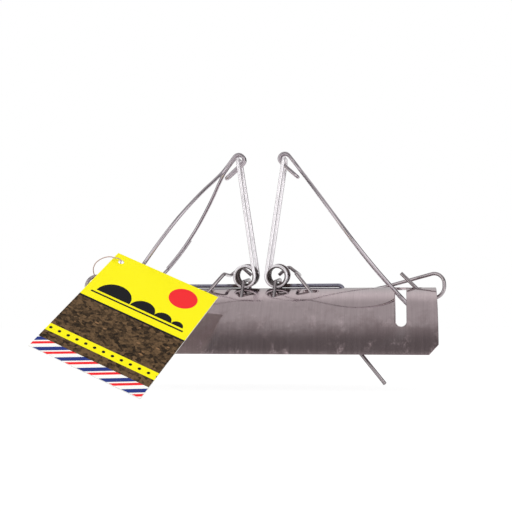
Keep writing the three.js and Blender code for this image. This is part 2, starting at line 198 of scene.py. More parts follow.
class SpringSizes(bpy.types.PropertyGroup):
    """Sizes of the two springs"""

    wire: metres("Wire", "Thickness of the spring wire", 0.0016)
    radius: metres("Coil Radius", "Radius of a coil's centre line", 0.0045)
    spacing: metres("Coil Spacing", "Between the two springs' coil axes", 0.0144)
    seat: metres("Coil Seat", "Gap between a coil and the roof", 0.0001)
    turn_gap: metres("Turn Gap", "Gap between a coil's turns", 0.00042)
    swing_gap: metres("Swing Gap", "Extra room beside the arms' turns", 0.00008)
    top_height: metres("Arm Top Height", "Height of the arms' crossbar", 0.0877)
    top_spacing: metres("Arm Top Spacing", "Between the two crossbars", 0.0212)
    top_width: metres("Arm Top Width", "Length of a crossbar", 0.01)
    arm_bend: metres("Arm Bend", "Radius of the bends at the crossbar", 0.002)
    leg_reach: metres("Leg Reach", "From the coil's axis to the leg's hole", 0.0295)
    leg_bend: metres("Leg Bend", "Radius of the leg's bend", 0.0022)
    leg_drop: metres("Leg Drop", "How far a leg ends below the roof", 0.0021)
    hole_gap: metres("Hole Gap", "Room round a leg in its hole", 0.0007)
    rise: share("Coil Rise", "Slope of the coil's axis toward the back", 0.1)
    turns: share("Coil Turns", "Whole turns of each coil", 1)
    swing: turned("Arm Swing", "How far the arms swing down", 70)
    turn_break: turned("Turn Break", "Gap in the arms' last turn", 9)

    @property
    def turn_step(self):
        """Distance between one turn and the next"""
        return self.wire + self.turn_gap

    @property
    def leg_side(self):
        """How far a leg lies to the front or the back"""
        return self.turn_step / 2

    @property
    def axis_x(self):
        """Place of a coil's axis along the barrel"""
        return self.spacing / 2

    @property
    def leg_x(self):
        """Place of a leg's hole along the barrel"""
        return self.axis_x + self.leg_reach

    @property
    def top_x(self):
        """Place of a crossbar along the barrel"""
        return self.top_spacing / 2


class LoopSizes(bpy.types.PropertyGroup):
    """Sizes of the two killing loops"""

    wire: metres("Wire", "Thickness of the loop wire", 0.0016)
    length: metres("Length", "From the hook to the loop's bottom", 0.09)
    width: metres("Width", "Widest distance between a loop's sides", 0.0452)
    bow: metres("Bow", "How far a loop bows off its plane", 0.0018)
    bow_power: share("Bow Power", "How far down the bow is deepest", 1.6)
    hook_radius: metres("Hook Radius", "Radius of the hook round the crossbar", 0.0024)
    hairpin: metres("Hairpin Width", "Outside width of the hook's hairpin", 0.0046)
    tail: metres("Tail Length", "Length of the hairpin below the hook", 0.01)
    lap_start: share("Lap Start", "Share of the length where the inner end stops", 0.69)
    lap_end: share("Lap End", "Share of the length where the outer end stops", 0.49)
    lap_ease: share("Lap Ease", "Share of the length in which the end steps out", 0.1)
    lean: turned("Lean", "How far a sprung loop leans", 38.1)
    tail_tuck: turned("Tail Tuck", "How far the hairpin tucks in", 10)

    @property
    def strand_side(self):
        """How far a hook's strand lies to its side"""
        return (self.hairpin - self.wire) / 2


class TriggerSizes(bpy.types.PropertyGroup):
    """Sizes of the two trigger pins"""

    wire: metres("Wire", "Thickness of the trigger wire", 0.0016)
    spacing: metres("Hole Spacing", "Between the two triggers' slots", 0.0464)
    side: metres("Hole Side", "How far the slots lie to the front", 0.01)
    slot_length: metres("Slot Length", "Length of a trigger's slot", 0.007)
    slot_width: metres("Slot Width", "Width of a trigger's slot", 0.0036)
    below: metres("Below", "Length of a pin below the roof", 0.0525)
    above: metres("Above", "Length of a pin above the roof", 0.0113)
    bend: metres("Bend", "Radius of a pin's bends", 0.0016)
    coil_gap: metres("Coil Gap", "Between a pin's head and the coil", 0.0022)
    lean: turned("Lean", "How far a pin leans outward", 39.6)
    splay: turned("Splay", "How far a pin leans to the front", 15.5)


class RetainerSizes(bpy.types.PropertyGroup):
    """Sizes of the two retaining wires"""

    wire: metres("Wire", "Thickness of the retaining wire", 0.0016)
    ring: metres("Ring Radius", "Radius of the ring at the barrel's end", 0.0053)
    ring_share: share("Ring Bend Share", "Share of that radius at which its corners bend", 0.97)
    inset: metres("Ring Inset", "From the barrel's end to the ring's middle", 0.0018)
    rise: metres("Ring Rise", "Height of the ring's middle over the roof", 0.0002)
    side: metres("Hole Side", "How far the hole lies to the front", 0.0045)
    hole: metres("Hole Width", "Width of the hole in the roof", 0.0044)
    stub: metres("Stub", "Length of the short end in the roof", 0.0158)
    drift: metres("Drift", "How far the ring drifts forward", 0.0015)
    elbow_side: metres("Elbow Side", "How far the elbow lies to the back", 0.0085)
    elbow_gap: metres("Elbow Gap", "Gap between the elbow and the roof", 0.001)
    elbow_bend: metres("Elbow Bend", "Radius of the elbow", 0.012)
    tip_side: metres("Tip Side", "How far the tip lies to the back", 0.022)
    tip_gap: metres("Tip Gap", "Gap between the tip and the roof", 0.0022)
    stub_lean: turned("Stub Lean", "Slope of the short end", 45)
    arm_slope: turned("Arm Slope", "Slope of the long arm", 14.2)


class StapleSizes(bpy.types.PropertyGroup):
    """Sizes of the two spring staples"""

    wire: metres("Wire", "Thickness of the staple wire", 0.0016)
    seat: metres("Seat", "Gap between the bar and the coils", 0.00075)
    bar_gap: metres("Bar Gap", "How far the bar passes the coils", 0.0019)
    bend: metres("Bend", "Radius of the staple's bends", 0.0024)
    leg_side: metres("Leg Side", "How far a leg enters from the middle", 0.0134)
    leg_drop: metres("Leg Drop", "How far a leg ends below the roof", 0.0016)
    spread: metres("Foot Spread", "How far a foot leans out", 0.0012)
    hole_gap: metres("Hole Gap", "Room round a leg in its hole", 0.0004)


class TagSizes(bpy.types.PropertyGroup):
    """Sizes of the paper tag and its string"""

    width: metres("Width", "Width of the card", 0.0492)
    height: metres("Height", "Height of the card", 0.0689)
    thickness: metres("Thickness", "Thickness of the card", 0.0005)
    hole: metres("Hole Width", "Width of the punched hole", 0.0024)
    hole_side: metres("Hole From Side", "From the card's side to the hole", 0.0041)
    hole_top: metres("Hole From Top", "From the card's top to the hole", 0.0047)
    rim: metres("Rim", "Width of the card's eased rim", 0.00005)
    string: metres("String", "Thickness of the string", 0.0005)
    turn_x: turned("Turn X", "Turn of the card about X", 41.55)
    turn_y: turned("Turn Y", "Turn of the card about Y", 16.66)
    turn_z: turned("Turn Z", "Turn of the card about Z", -17.08)


class Finishes(bpy.types.PropertyGroup):
    """Colours and dullness of the finishes"""

    sheet: colour("Sheet", "Rolled sheet steel", (0.49, 0.405, 0.42))
    # The darker sheet colour: tarnished clouds and spots, and painted shade along the long edges
    sheet_dark: colour("Sheet Tarnish", "Tarnish along the long edges", (0.34, 0.265, 0.275))
    spring: colour("Spring Wire", "Bright drawn spring wire", (0.93, 0.89, 0.92))
    # A darker copy of the bright spring wire: painted shade on the coils' inner turns and on the
    # legs along the roof
    leg: colour("Spring Legs", "Duller wire of legs and inner turns", (0.33, 0.32, 0.4))
    loop: colour("Loop Wire", "Drawn loop wire", (0.5, 0.45, 0.48))
    pin: colour("Pin Wire", "Duller drawn wire of pins and retainers", (0.42, 0.375, 0.39))
    # Dark greasy brown, also painted as shade in the coils' bores and between their turns
    grease_and_shade_tone: colour("Grease", "Dark grease in the coils", (0.09, 0.06, 0.055))
    yellow: colour("Yellow Ink", "The tag's main printed colour", (0.86, 0.78, 0.002))
    red: colour("Red Ink", "The tag's second printed colour", (0.8, 0.02, 0.025))
    black: colour("Black Ink", "The tag's printed black", (0.008, 0.008, 0.01))
    blue: colour("Blue Ink", "The tag's printed blue", (0.02, 0.035, 0.2))
    soil: colour("Soil", "The tag's printed earth", (0.055, 0.032, 0.015))
    chips: colour("Soil Chips", "Pale chips in the printed earth", (0.24, 0.13, 0.06))
    board: colour("Board", "Bare board of the card", (0.86, 0.85, 0.82))
    twine: colour("Twine", "The tag's string", (0.62, 0.42, 0.34))
    spring_metal: share("Spring Metal", "How metallic the arms' bright wire is", 0.72)
    spring_dullness: share("Spring Dullness", "Roughness of the arms' wire", 0.3)
    leg_dullness: share("Leg Dullness", "Roughness of the springs' legs", 0.2)
    loop_dullness: share("Loop Dullness", "Roughness of the loop wire", 0.2)
    pin_dullness: share("Pin Dullness", "Roughness of pins and retainers", 0.22)
    staple_dullness: share("Staple Dullness", "Roughness of the staples", 0.2)


class Studio(bpy.types.PropertyGroup):
    """The camera and the studio"""

    camera: bpy.props.FloatVectorProperty(
        name="Camera",
        description="Place of the camera",
        default=(0.0639, -0.40705, 0.0131),
        size=3,
        subtype="TRANSLATION",
    )
    target: bpy.props.FloatVectorProperty(
        name="Target",
        description="What the camera looks at",
        default=(-0.00279, 0.02855, 0.04356),
        size=3,
        subtype="TRANSLATION",
    )
    focal: share("Focal Length", "Focal length in pixels of the picture", 971)
    floor: metres("Floor", "Height of the floor", -0.0155)
    floor_reach: metres("Floor Reach", "Half of the floor's width", 4)


class TrapSettings(bpy.types.PropertyGroup):
    """Everything that a user may change"""

    barrel: bpy.props.PointerProperty(type=BarrelSizes)
    spring: bpy.props.PointerProperty(type=SpringSizes)
    loop: bpy.props.PointerProperty(type=LoopSizes)
    trigger: bpy.props.PointerProperty(type=TriggerSizes)
    retainer: bpy.props.PointerProperty(type=RetainerSizes)
    staple: bpy.props.PointerProperty(type=StapleSizes)
    tag: bpy.props.PointerProperty(type=TagSizes)
    finish: bpy.props.PointerProperty(type=Finishes)
    studio: bpy.props.PointerProperty(type=Studio)


# Points and routes


def heading(start, end):
    """The direction from one point to another."""
    return (end - start).normalized()


def laid(trap, side, points):
    """Points about the barrel's axis, put on the left or the right and in the frame."""
    middle = trap.barrel.middle
    return [Vector((side * point.x, point.y + middle, point.z)) for point in points]


def roof_height(radius, y):
    """Height of a circle about the barrel's axis at a distance to its side."""
    return math.sqrt(radius * radius - y * y)


def bend_points(before, corner, after, bend):
    """The points of one round bend between two straight stretches."""
    back = heading(corner, before)
    ahead = heading(corner, after)
    half = back.angle(ahead) / 2
    centre = corner + (back + ahead).normalized() * (bend / math.sin(half))
    outward = heading(centre, corner + back * (bend / math.tan(half)))
    turn = math.pi - 2 * half
    steps = max(2, math.ceil(turn / BEND_STEP))
    angles = [turn * step / steps for step in range(steps + 1)]
    return [centre + bend * (math.cos(a) * outward - math.sin(a) * back) for a in angles]


def bent_route(corners, bends):
    """Straight stretches between corners, each corner but the ends rounded."""
    route = [corners[0]]
    for index, bend in enumerate(bends):
        route += bend_points(*corners[index:index + 3], bend)
    return route + [corners[-1]]


def curve_segment(four, weight):
    """A point of a centripetal Catmull-Rom curve between the middle two of four points."""
    steps = [math.sqrt((four[i + 1] - four[i]).length) for i in range(3)]
    first, second, third = steps
    p0, p1, p2, p3 = four
    leave = (p1 - p0) / first - (p2 - p0) / (first + second) + (p2 - p1) / second
    arrive = (p2 - p1) / second - (p3 - p1) / (second + third) + (p3 - p2) / third
    leave *= second
    arrive *= second
    square = 3 * (p2 - p1) - 2 * leave - arrive
    cube = 2 * (p1 - p2) + leave + arrive
    return p1 + weight * (leave + weight * (square + weight * cube))


def smooth_route(points, count):
    """Evenly spaced points, count steps apart in all, on a smooth curve through the points."""
    ends = [2 * points[0] - points[1], *points, 2 * points[-1] - points[-2]]
    spans = len(points) - 1
    fine = []
    for sample in range(CURVE_SAMPLES + 1):
        place = spans * sample / CURVE_SAMPLES
        span = min(int(place), spans - 1)
        fine.append(curve_segment(ends[span:span + 4], place - span))
    return evenly(fine, count)


def evenly(points, count):
    """The points of a line, taken anew at even distances."""
    reach = [0]
    for start, end in zip(points, points[1:]):
        reach.append(reach[-1] + (end - start).length)
    spaced = []
    index = 0
    for step in range(count + 1):
        want = reach[-1] * step / count
        while index < len(points) - 2 and reach[index + 1] < want:
            index += 1
        part = (want - reach[index]) / (reach[index + 1] - reach[index])
        spaced.append(points[index].lerp(points[index + 1], min(max(part, 0), 1)))
    return spaced


def route_length(points):
    """Length of a line of points."""
    return sum((end - start).length for start, end in zip(points, points[1:]))


# Springs


def coil_axis_height(trap):
    """Height of a coil's axis over the barrel's."""
    spring = trap.spring
    lift = spring.seat + spring.wire / 2 + spring.radius
    return trap.barrel.radius + lift + spring.rise * spring.leg_side


def coil_height(trap, y):
    """Height of a coil's axis at a distance to the back."""
    return coil_axis_height(trap) + trap.spring.rise * y


def coil_points(trap, start_angle, turns, start_side, end):
    """The centre line of a coil, from one side outward to the middle."""
    spring = trap.spring
    steps = math.ceil(TURN_STEPS * turns)
    points = []
    for step in range(steps + 1):
        turned_by = turns * step / steps
        angle = start_angle + 2 * math.pi * turned_by
        y = end * (start_side - spring.turn_step * turned_by)
        x = spring.axis_x + spring.radius * math.cos(angle)
        points.append(Vector((x, y, coil_height(trap, y) + spring.radius * math.sin(angle))))
    return points


def arm_angle(trap, y):
    """The angle round the coil at which an arm leaves it for the crossbar."""
    spring = trap.spring
    across = spring.top_x - spring.axis_x
    up = spring.top_height - coil_height(trap, y)
    lean = math.atan2(across, up) + math.asin(spring.radius / math.hypot(across, up))
    return math.pi - lean


def fixed_turns(trap, y):
    """Turns of the coil that stays with the leg."""
    return trap.spring.turns + (BELOW - arm_angle(trap, y)) / (2 * math.pi)


def fixed_start(trap):
    """Where the fixed turns begin, to the side."""
    return trap.spring.leg_side + trap.spring.turn_step * fixed_turns(trap, 0)


def arm_start(trap):
    """Where the arms' own turns begin, to the side."""
    spring = trap.spring
    turns = spring.turns + spring.swing / (2 * math.pi)
    return fixed_start(trap) + spring.turn_step * turns + spring.swing_gap


def arm_half(trap, end):
    """One arm's turn of the coil."""
    turns = trap.spring.turns - trap.spring.turn_break / (2 * math.pi)
    start = arm_start(trap)
    coil = coil_points(trap, arm_angle(trap, end * start), turns, start, end)
    return coil[::-1]


def arms_route(trap):
    """Both arms, with a turn of the coil at each end and the crossbar between."""
    spring = trap.spring
    front = arm_half(trap, -1)
    rear = arm_half(trap, 1)[::-1]
    front_top = Vector((spring.top_x, -spring.top_width / 2, spring.top_height))
    rear_top = Vector((spring.top_x, spring.top_width / 2, spring.top_height))
    corners = [front[-1], front_top, rear_top, rear[0]]
    over = bent_route(corners, [spring.arm_bend] * 2)
    return front + over[1:-1] + rear


def coil_route(trap, end):
    """One coil's fixed turns and the leg that runs along the roof and drops through it."""
    spring = trap.spring
    barrel = trap.barrel
    coil = coil_points(trap, arm_angle(trap, 0), fixed_turns(trap, 0), fixed_start(trap), end)
    foot = coil[-1]
    corner = Vector((spring.leg_x, foot.y, foot.z))
    tip = Vector((spring.leg_x, foot.y, barrel.radius - barrel.thickness - spring.leg_drop))
    return coil + bent_route([foot, corner, tip], [spring.leg_bend])[1:]


# Killing loops


def loop_place(trap, along, side, off):
    """A place about the barrel's axis, told by how far it lies from the hook along the loop,
    to its side and off its plane."""
    loop = trap.loop
    down = Vector((math.sin(loop.lean), 0, -math.cos(loop.lean)))
    out = Vector((math.cos(loop.lean), 0, math.sin(loop.lean)))
    return Vector((trap.spring.top_x, side, trap.spring.top_height)) + along * down + off * out


def loop_outline(loop):
    """One side of a loop, from its hook to its bottom."""
    places = [Vector((0, loop.strand_side, 0))]
    for along, side in LOOP_SHARES:
        places.append(Vector((along * loop.length, side * loop.width / 2, 0)))
    outline = [(0, loop.strand_side, loop.hook_radius)]
    for place in smooth_route(places, LOOP_STEPS)[1:]:
        bow = loop.bow * math.sin(math.pi * (place.x / loop.length) ** loop.bow_power)
        outline.append((place.x, place.y, loop.hook_radius - bow))
    return outline


def lap_ease(loop, spring, along):
    """How far the outer end stands out beside the inner one."""
    eased = (loop.lap_start + loop.lap_ease - along / loop.length) / loop.lap_ease
    eased = min(max(eased, 0), 1)
    return (loop.wire + spring.turn_gap) * eased * eased * (3 - 2 * eased)


def loop_hook(trap, end):
    """One strand's turn over the crossbar."""
    loop = trap.loop
    turn = math.pi + loop.tail_tuck
    steps = math.ceil(turn / BEND_STEP)
    points = []
    for step in range(1, steps + 1):
        angle = turn * step / steps
        along = -loop.hook_radius * math.sin(angle)
        off = loop.hook_radius * math.cos(angle)
        points.append(loop_place(trap, along, end * loop.strand_side, off))
    return points


def loop_tail(trap):
    """The hairpin that joins the two strands below the crossbar."""
    loop = trap.loop
    turn = math.pi + loop.tail_tuck
    steps = math.ceil(math.pi / BEND_STEP)
    points = []
    for step in range(steps + 1):
        angle = math.pi / 2 - math.pi * step / steps
        reach = loop.tail - loop.strand_side + loop.strand_side * math.cos(angle)
        along = reach * math.cos(loop.tail_tuck) - loop.hook_radius * math.sin(turn)
        off = reach * math.sin(loop.tail_tuck) + loop.hook_radius * math.cos(turn)
        points.append(loop_place(trap, along, loop.strand_side * math.sin(angle), off))
    return points


def loop_route(trap):
    """A whole killing loop: its lapped ends lie on the far side."""
    loop = trap.loop
    outline = loop_outline(loop)
    inner = [place for place in outline if place[0] < loop.lap_start * loop.length][::-1]
    outer = [place for place in outline if place[0] > loop.lap_end * loop.length][::-1]
    route = [loop_place(trap, along, side, off) for along, side, off in inner]
    route += loop_hook(trap, 1) + loop_tail(trap) + loop_hook(trap, -1)[::-1]
    route += [loop_place(trap, along, -side, off) for along, side, off in outline]
    for along, side, off in outer[1:]:
        route.append(loop_place(trap, along, side + lap_ease(loop, trap.spring, along), off))
    return route


# Triggers, retaining wires and staples


def trigger_hole(trap):
    """Where a trigger pin passes through the roof."""
    trigger = trap.trigger
    height = roof_height(trap.barrel.middle, trigger.side)
    return Vector((trigger.spacing / 2, -trigger.side, height))


def trigger_route(trap):
    """A trigger pin, from its tip to the hook of its head behind the coil."""
    trigger = trap.trigger
    spring = trap.spring
    down = Vector((
        math.sin(trigger.lean) * math.cos(trigger.splay),
        -math.sin(trigger.splay),
        -math.cos(trigger.lean) * math.cos(trigger.splay),
    ))
    knob = trigger_hole(trap) - trigger.above * down
    back = arm_start(trap) + spring.wire / 2 + trigger.coil_gap + trigger.wire / 2
    corners = [trigger_hole(trap) + trigger.below * down, knob, Vector((knob.x, back, knob.z))]
    for along, up in TRIGGER_HOOK_SHARES:
        x = spring.axis_x + along * spring.radius
        corners.append(Vector((x, back, coil_axis_height(trap) + up * spring.radius)))
    return bent_route(corners, [trigger.bend] * 3)


def ring_place(trap):
    """The middle of a retaining wire's ring, along the barrel and up."""
    retainer = trap.retainer
    return trap.barrel.length / 2 - retainer.inset, trap.barrel.radius + retainer.rise


def ring_corner(trap, start, end, drift):
    """A corner of the ring, between two directions in which the wire runs straight."""
    retainer = trap.retainer
    ring_x, ring_z = ring_place(trap)
    middle = (start + end) / 2
    reach = retainer.ring / math.cos((end - start) / 2)
    return Vector((
        ring_x + reach * math.cos(middle),
        -retainer.side - retainer.drift * drift,
        ring_z + reach * math.sin(middle),
    ))


def retainer_hole_x(trap):
    """Where the ring's short end passes through the roof."""
    retainer = trap.retainer
    ring_x, ring_z = ring_place(trap)
    start_x = ring_x - retainer.ring * math.sin(retainer.stub_lean)
    start_z = ring_z - retainer.ring * math.cos(retainer.stub_lean)
    rise = roof_height(trap.barrel.middle, retainer.side) - start_z
    return start_x - rise / math.tan(retainer.stub_lean)


def retainer_route(trap):
    """A retaining wire: short end, ring, long arm over the roof and tip behind it."""
    retainer = trap.retainer
    radius = trap.barrel.radius
    lean = retainer.stub_lean
    bottom = ring_corner(trap, BELOW - lean, BELOW, 0)
    outer = ring_corner(trap, BELOW, BEYOND, 1)
    top = ring_corner(trap, BEYOND, ABOVE + retainer.arm_slope, 0)
    stub = bottom + retainer.stub * Vector((-math.cos(lean), 0, math.sin(lean)))
    elbow_z = roof_height(radius + retainer.elbow_gap + retainer.wire / 2, retainer.elbow_side)
    elbow_x = top.x - (top.z - elbow_z) / math.tan(retainer.arm_slope)
    elbow = Vector((elbow_x, retainer.elbow_side, elbow_z))
    tip_z = roof_height(radius + retainer.tip_gap + retainer.wire / 2, retainer.tip_side)
    tip = Vector((trap.trigger.spacing / 2, retainer.tip_side, tip_z))
    ring = retainer.ring_share * retainer.ring
    return bent_route([stub, bottom, outer, top, elbow, tip], [ring] * 3 + [retainer.elbow_bend])


def staple_route(trap):
    """A staple: its bar lies in the coils' bore, and its legs go down through the roof."""
    staple = trap.staple
    spring = trap.spring
    barrel = trap.barrel
    reach = arm_start(trap) + spring.wire / 2 + staple.bar_gap
    lift = (spring.wire + staple.wire) / 2 + staple.seat - spring.radius
    foot_z = roof_height(barrel.radius - barrel.thickness, staple.leg_side) - staple.leg_drop
    corners = []
    for wall in (-1, 1):
        bar = Vector((spring.axis_x, wall * reach, coil_height(trap, wall * reach) + lift))
        foot = Vector((spring.axis_x, wall * (staple.leg_side + staple.spread), foot_z))
        corners += [foot, bar] if wall < 0 else [bar, foot]
    return bent_route(corners, [staple.bend] * 2)


def staple_hole(trap, wall):
    """Middle and length, across the barrel, of the hole that a slanting leg needs."""
    route = staple_route(trap)
    foot, above = (route[0], route[1]) if wall < 0 else (route[-1], route[-2])
    leg = heading(foot, above)
    middle = trap.barrel.middle
    along = foot.y * leg.y + foot.z * leg.z
    beyond = middle ** 2 - foot.y ** 2 - foot.z ** 2
    place = foot + leg * (math.sqrt(along ** 2 + beyond) - along)
    slant = Vector((0, place.y, place.z)).angle(leg)
    across = trap.staple.wire / math.cos(slant) + trap.barrel.thickness * math.tan(slant)
    return place.y, across * (place.z / middle) + 2 * trap.staple.hole_gap


# Meshes

# Share of a wire's radius by which its cut ends are eased

END_EASE = 0.22

# Share of the ease at which it rounds over

EASE_SHOULDER = 0.3

# Share of a cord's radius by which it is thinner between its plies

PLY_DEPTH = 0.12

# Least cosine of half a corner's turn when an outline grows

MITRE_LIMIT = 0.3

# Share of the pitch by which a lattice keeps clear of an outline

LATTICE_MARGIN = 0.4

# Distances in metres below which points are one

SAME_POINT = 1e-7
FILL_TOLERANCE = 1e-9


def mesh_from(name, work, places):
    """A smooth mesh from a bmesh, with each vertex's own place kept as an attribute."""
    bmesh.ops.recalc_face_normals(work, faces=work.faces)
    mesh = bpy.data.meshes.new(name)
    work.to_mesh(mesh)
    work.free()
    layer = mesh.attributes.new(PLACE, "FLOAT_VECTOR", "POINT")
    layer.data.foreach_set("vector", [number for place in places for number in place])
    mesh.shade_smooth()
    mesh.set_sharp_from_angle(angle=SHARP_EDGE)
    return mesh


def stations(points, radius):
    """Where a wire's rings stand, its cut ends eased: each ring's middle, the wire's direction,
    a side that is carried along without twisting, the reach along the wire and the radius."""
    headings = [heading(a, b) for a, b in zip(points, points[1:])]
    tangents = [headings[0]]
    tangents += [(a + b).normalized() for a, b in zip(headings, headings[1:])]
    tangents.append(headings[-1])
    side = tangents[0].orthogonal().normalized()
    reach = 0
    rings = []
    for index, (point, tangent) in enumerate(zip(points, tangents)):
        if index:
            reach += (point - points[index - 1]).length
            side = tangents[index - 1].rotation_difference(tangent) @ side
        side = (side - side.dot(tangent) * tangent).normalized()
        rings.append((point, tangent, side, reach, radius))
    ease = END_EASE * radius
    shoulder = EASE_SHOULDER * ease
    first, last = rings[0], rings[-1]
    start_rings = []
    end_rings = []
    for back, cut in ((0, ease), (shoulder, shoulder), (ease, 0)):
        start_rings.append((first[0] + back * first[1], *first[1:4], radius - cut))
        end_rings.append((last[0] - back * last[1], *last[1:4], radius - cut))
    return start_rings + rings[1:-1] + end_rings[::-1]


def swept(name, points, radius, sides=WIRE_SIDES, plies=0, lay=0):
    """A round wire along points. Plies, and how fast they turn along it, make it a cord."""
    work = bmesh.new()
    places = []
    rings = []
    for point, tangent, side, reach, size in stations(points, radius):
        up = tangent.cross(side)
        ring = []
        for index in range(sides):
            angle = 2 * math.pi * index / sides
            swell = 1
            if plies:
                swell -= PLY_DEPTH * (1 - math.cos(plies * angle - lay * reach))
            spoke = math.cos(angle) * side + math.sin(angle) * up
            ring.append(work.verts.new(point + size * swell * spoke))
            places.append((reach, radius * math.cos(angle), radius * math.sin(angle)))
        rings.append(ring)
    for ring, following in zip(rings, rings[1:]):
        for index in range(sides):
            beside = (index + 1) % sides
            work.faces.new((ring[index], ring[beside], following[beside], following[index]))
    work.faces.new(rings[0][::-1])
    work.faces.new(rings[-1])
    return mesh_from(name, work, places)


def slot_outline(x, y, length, width, along_y=False, steps=HOLE_STEPS):
    """A slot or a round hole as a list of points, counterclockwise."""
    reach = max(length - width, 0) / 2
    radius = width / 2
    points = []
    for end in (1, -1):
        for step in range(steps + 1):
            angle = math.pi * (step / steps - 0.5)
            along = reach + radius * math.cos(angle)
            points.append((end * along, end * radius * math.sin(angle)))
    if along_y:
        points = [(-b, a) for a, b in points]
    return without_repeats([Vector((x + a, y + b)) for a, b in points])


def without_repeats(points):
    """The outline without points that fall on the one before."""
    return [p for i, p in enumerate(points) if (p - points[i - 1]).length > SAME_POINT]


def split_outline(corners, pitch):
    """An outline with its long sides cut into steps of about a pitch."""
    points = []
    for corner, following in zip(corners, corners[1:] + corners[:1]):
        steps = max(1, round((following - corner).length / pitch))
        points += [corner.lerp(following, step / steps) for step in range(steps)]
    return points


def grown(points, distance):
    """A counterclockwise outline moved outward by a small distance."""
    moved = []
    for index, point in enumerate(points):
        arriving = (point - points[index - 1]).normalized()
        leaving = (points[(index + 1) % len(points)] - point).normalized()
        normal = Vector((arriving.y + leaving.y, -arriving.x - leaving.x)).normalized()
        spread = max(normal.dot(Vector((arriving.y, -arriving.x))), MITRE_LIMIT)
        moved.append(point + normal * (distance / spread))
    return moved


def inside(point, outline):
    """Whether a point lies in an outline."""
    found = False
    for start, end in zip(outline, outline[1:] + outline[:1]):
        if (start.y > point.y) != (end.y > point.y):
            cross = start.x + (point.y - start.y) * (end.x - start.x) / (end.y - start.y)
            if point.x < cross:
                found = not found
    return found


def box_of(outline, margin):
    """The corners of the box round an outline."""
    xs = [point.x for point in outline]
    ys = [point.y for point in outline]
    return min(xs) - margin, max(xs) + margin, min(ys) - margin, max(ys) + margin


def filled(outer, holes, pitch):
    """Points and triangles that fill an outline round its holes, with a lattice inside."""
    points = []
    edges = []
    for outline in [outer, *holes]:
        first = len(points)
        points += outline
        edges += [(first + i, first + (i + 1) % len(outline)) for i in range(len(outline))]
    margin = LATTICE_MARGIN * min(pitch)
    keep_in = grown(outer, -margin)
    keep_out = [(box_of(hole, 2 * margin), grown(hole, margin)) for hole in holes]
    low_x, high_x, low_y, high_y = box_of(outer, 0)
    across = round((high_x - low_x) / pitch[0])
    along = round((high_y - low_y) / pitch[1])
    for column in range(1, across):
        for row in range(1, along):
            x = low_x + (high_x - low_x) * column / across
            y = low_y + (high_y - low_y) * row / along
            point = Vector((x, y))
            if not inside(point, keep_in):
                continue
            near = [h for b, h in keep_out if b[0] < x < b[1] and b[2] < y < b[3]]
            if not any(inside(point, hole) for hole in near):
                points.append(point)
    verts, _, faces, sources, _, _ = delaunay_2d_cdt(points, edges, [], 1, FILL_TOLERANCE)
    if len(verts) != len(points):
        raise RuntimeError("the sheet's outline crosses itself")
    kept = []
    for face in faces:
        centre = sum((verts[i] for i in face), Vector((0, 0))) / len(face)
        if inside(centre, outer) and not any(inside(centre, hole) for hole in holes):
            kept.append([sources[i][0] for i in face])
    return points, kept


def punched_sheet(name, outer, holes, pitch, thickness, rim, place):
    """A flat sheet with punched holes and eased rims, laid out in space by place(x, y, depth)."""
    outlines = [outer, *holes]
    eased = [grown(outer, -rim)] + [grown(hole, rim) for hole in holes]
    points, faces = filled(eased[0], eased[1:], pitch)
    work = bmesh.new()
    places = []

    def level(spots, depth):
        added = []
        for spot in spots:
            added.append(work.verts.new(place(spot.x, spot.y, depth)))
            places.append((spot.x, spot.y, depth))
        return added

    face_side = level(points, 0)
    back_side = level(points, thickness)
    for face in faces:
        work.faces.new([face_side[i] for i in face])
        work.faces.new([back_side[i] for i in reversed(face)])
    first = 0
    for outline in outlines:
        size = len(outline)
        levels = [face_side[first:first + size]]
        levels.append(level(outline, rim))
        levels.append(level(outline, thickness - rim))
        levels.append(back_side[first:first + size])
        for upper, lower in zip(levels, levels[1:]):
            for i in range(size):
                j = (i + 1) % size
                work.faces.new((upper[i], upper[j], lower[j], lower[i]))
        first += size
    return mesh_from(name, work, places)


def made(name, mesh, material, body, nodes=()):
    """The finished piece: it rides on its body and stands for its CAD nodes."""
    piece = bpy.data.objects.new(name, mesh)
    bpy.context.scene.collection.objects.link(piece)
    mesh.materials.append(material)
    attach(piece, body)
    if nodes:
        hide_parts(*nodes)
    return piece


# Shader expressions

# Numbers of a colour Mix node's sockets, whose names repeat

MIX_FACTOR = 0
MIX_FIRST = 6
MIX_SECOND = 7
MIX_RESULT = 2


class Flow:
    """A shader socket that arithmetic turns into Math nodes."""

    def __init__(self, shader, socket):
        self.shader = shader
        self.socket = socket

    def math(self, operation, first, second):
        """A Math node on two values."""
        inputs = {0: first, 1: second}
        return self.shader.add("ShaderNodeMath", {"operation": operation}, inputs)

    def __add__(self, other):
        return self.math("ADD", self, other)

    def __radd__(self, other):
        return self.math("ADD", other, self)

    def __sub__(self, other):
        return self.math("SUBTRACT", self, other)

    def __rsub__(self, other):
        return self.math("SUBTRACT", other, self)

    def __mul__(self, other):
        return self.math("MULTIPLY", self, other)

    def __rmul__(self, other):
        return self.math("MULTIPLY", other, self)

    def __pow__(self, other):
        return self.math("POWER", self, other)

    def __rpow__(self, other):
        return self.math("POWER", other, self)

    def __mod__(self, other):
        return self.math("FLOORED_MODULO", self, other)

    def __rmod__(self, other):
        return self.math("FLOORED_MODULO", other, self)

    def __gt__(self, other):
        return self.math("GREATER_THAN", self, other)

    def __lt__(self, other):
        return self.math("LESS_THAN", self, other)


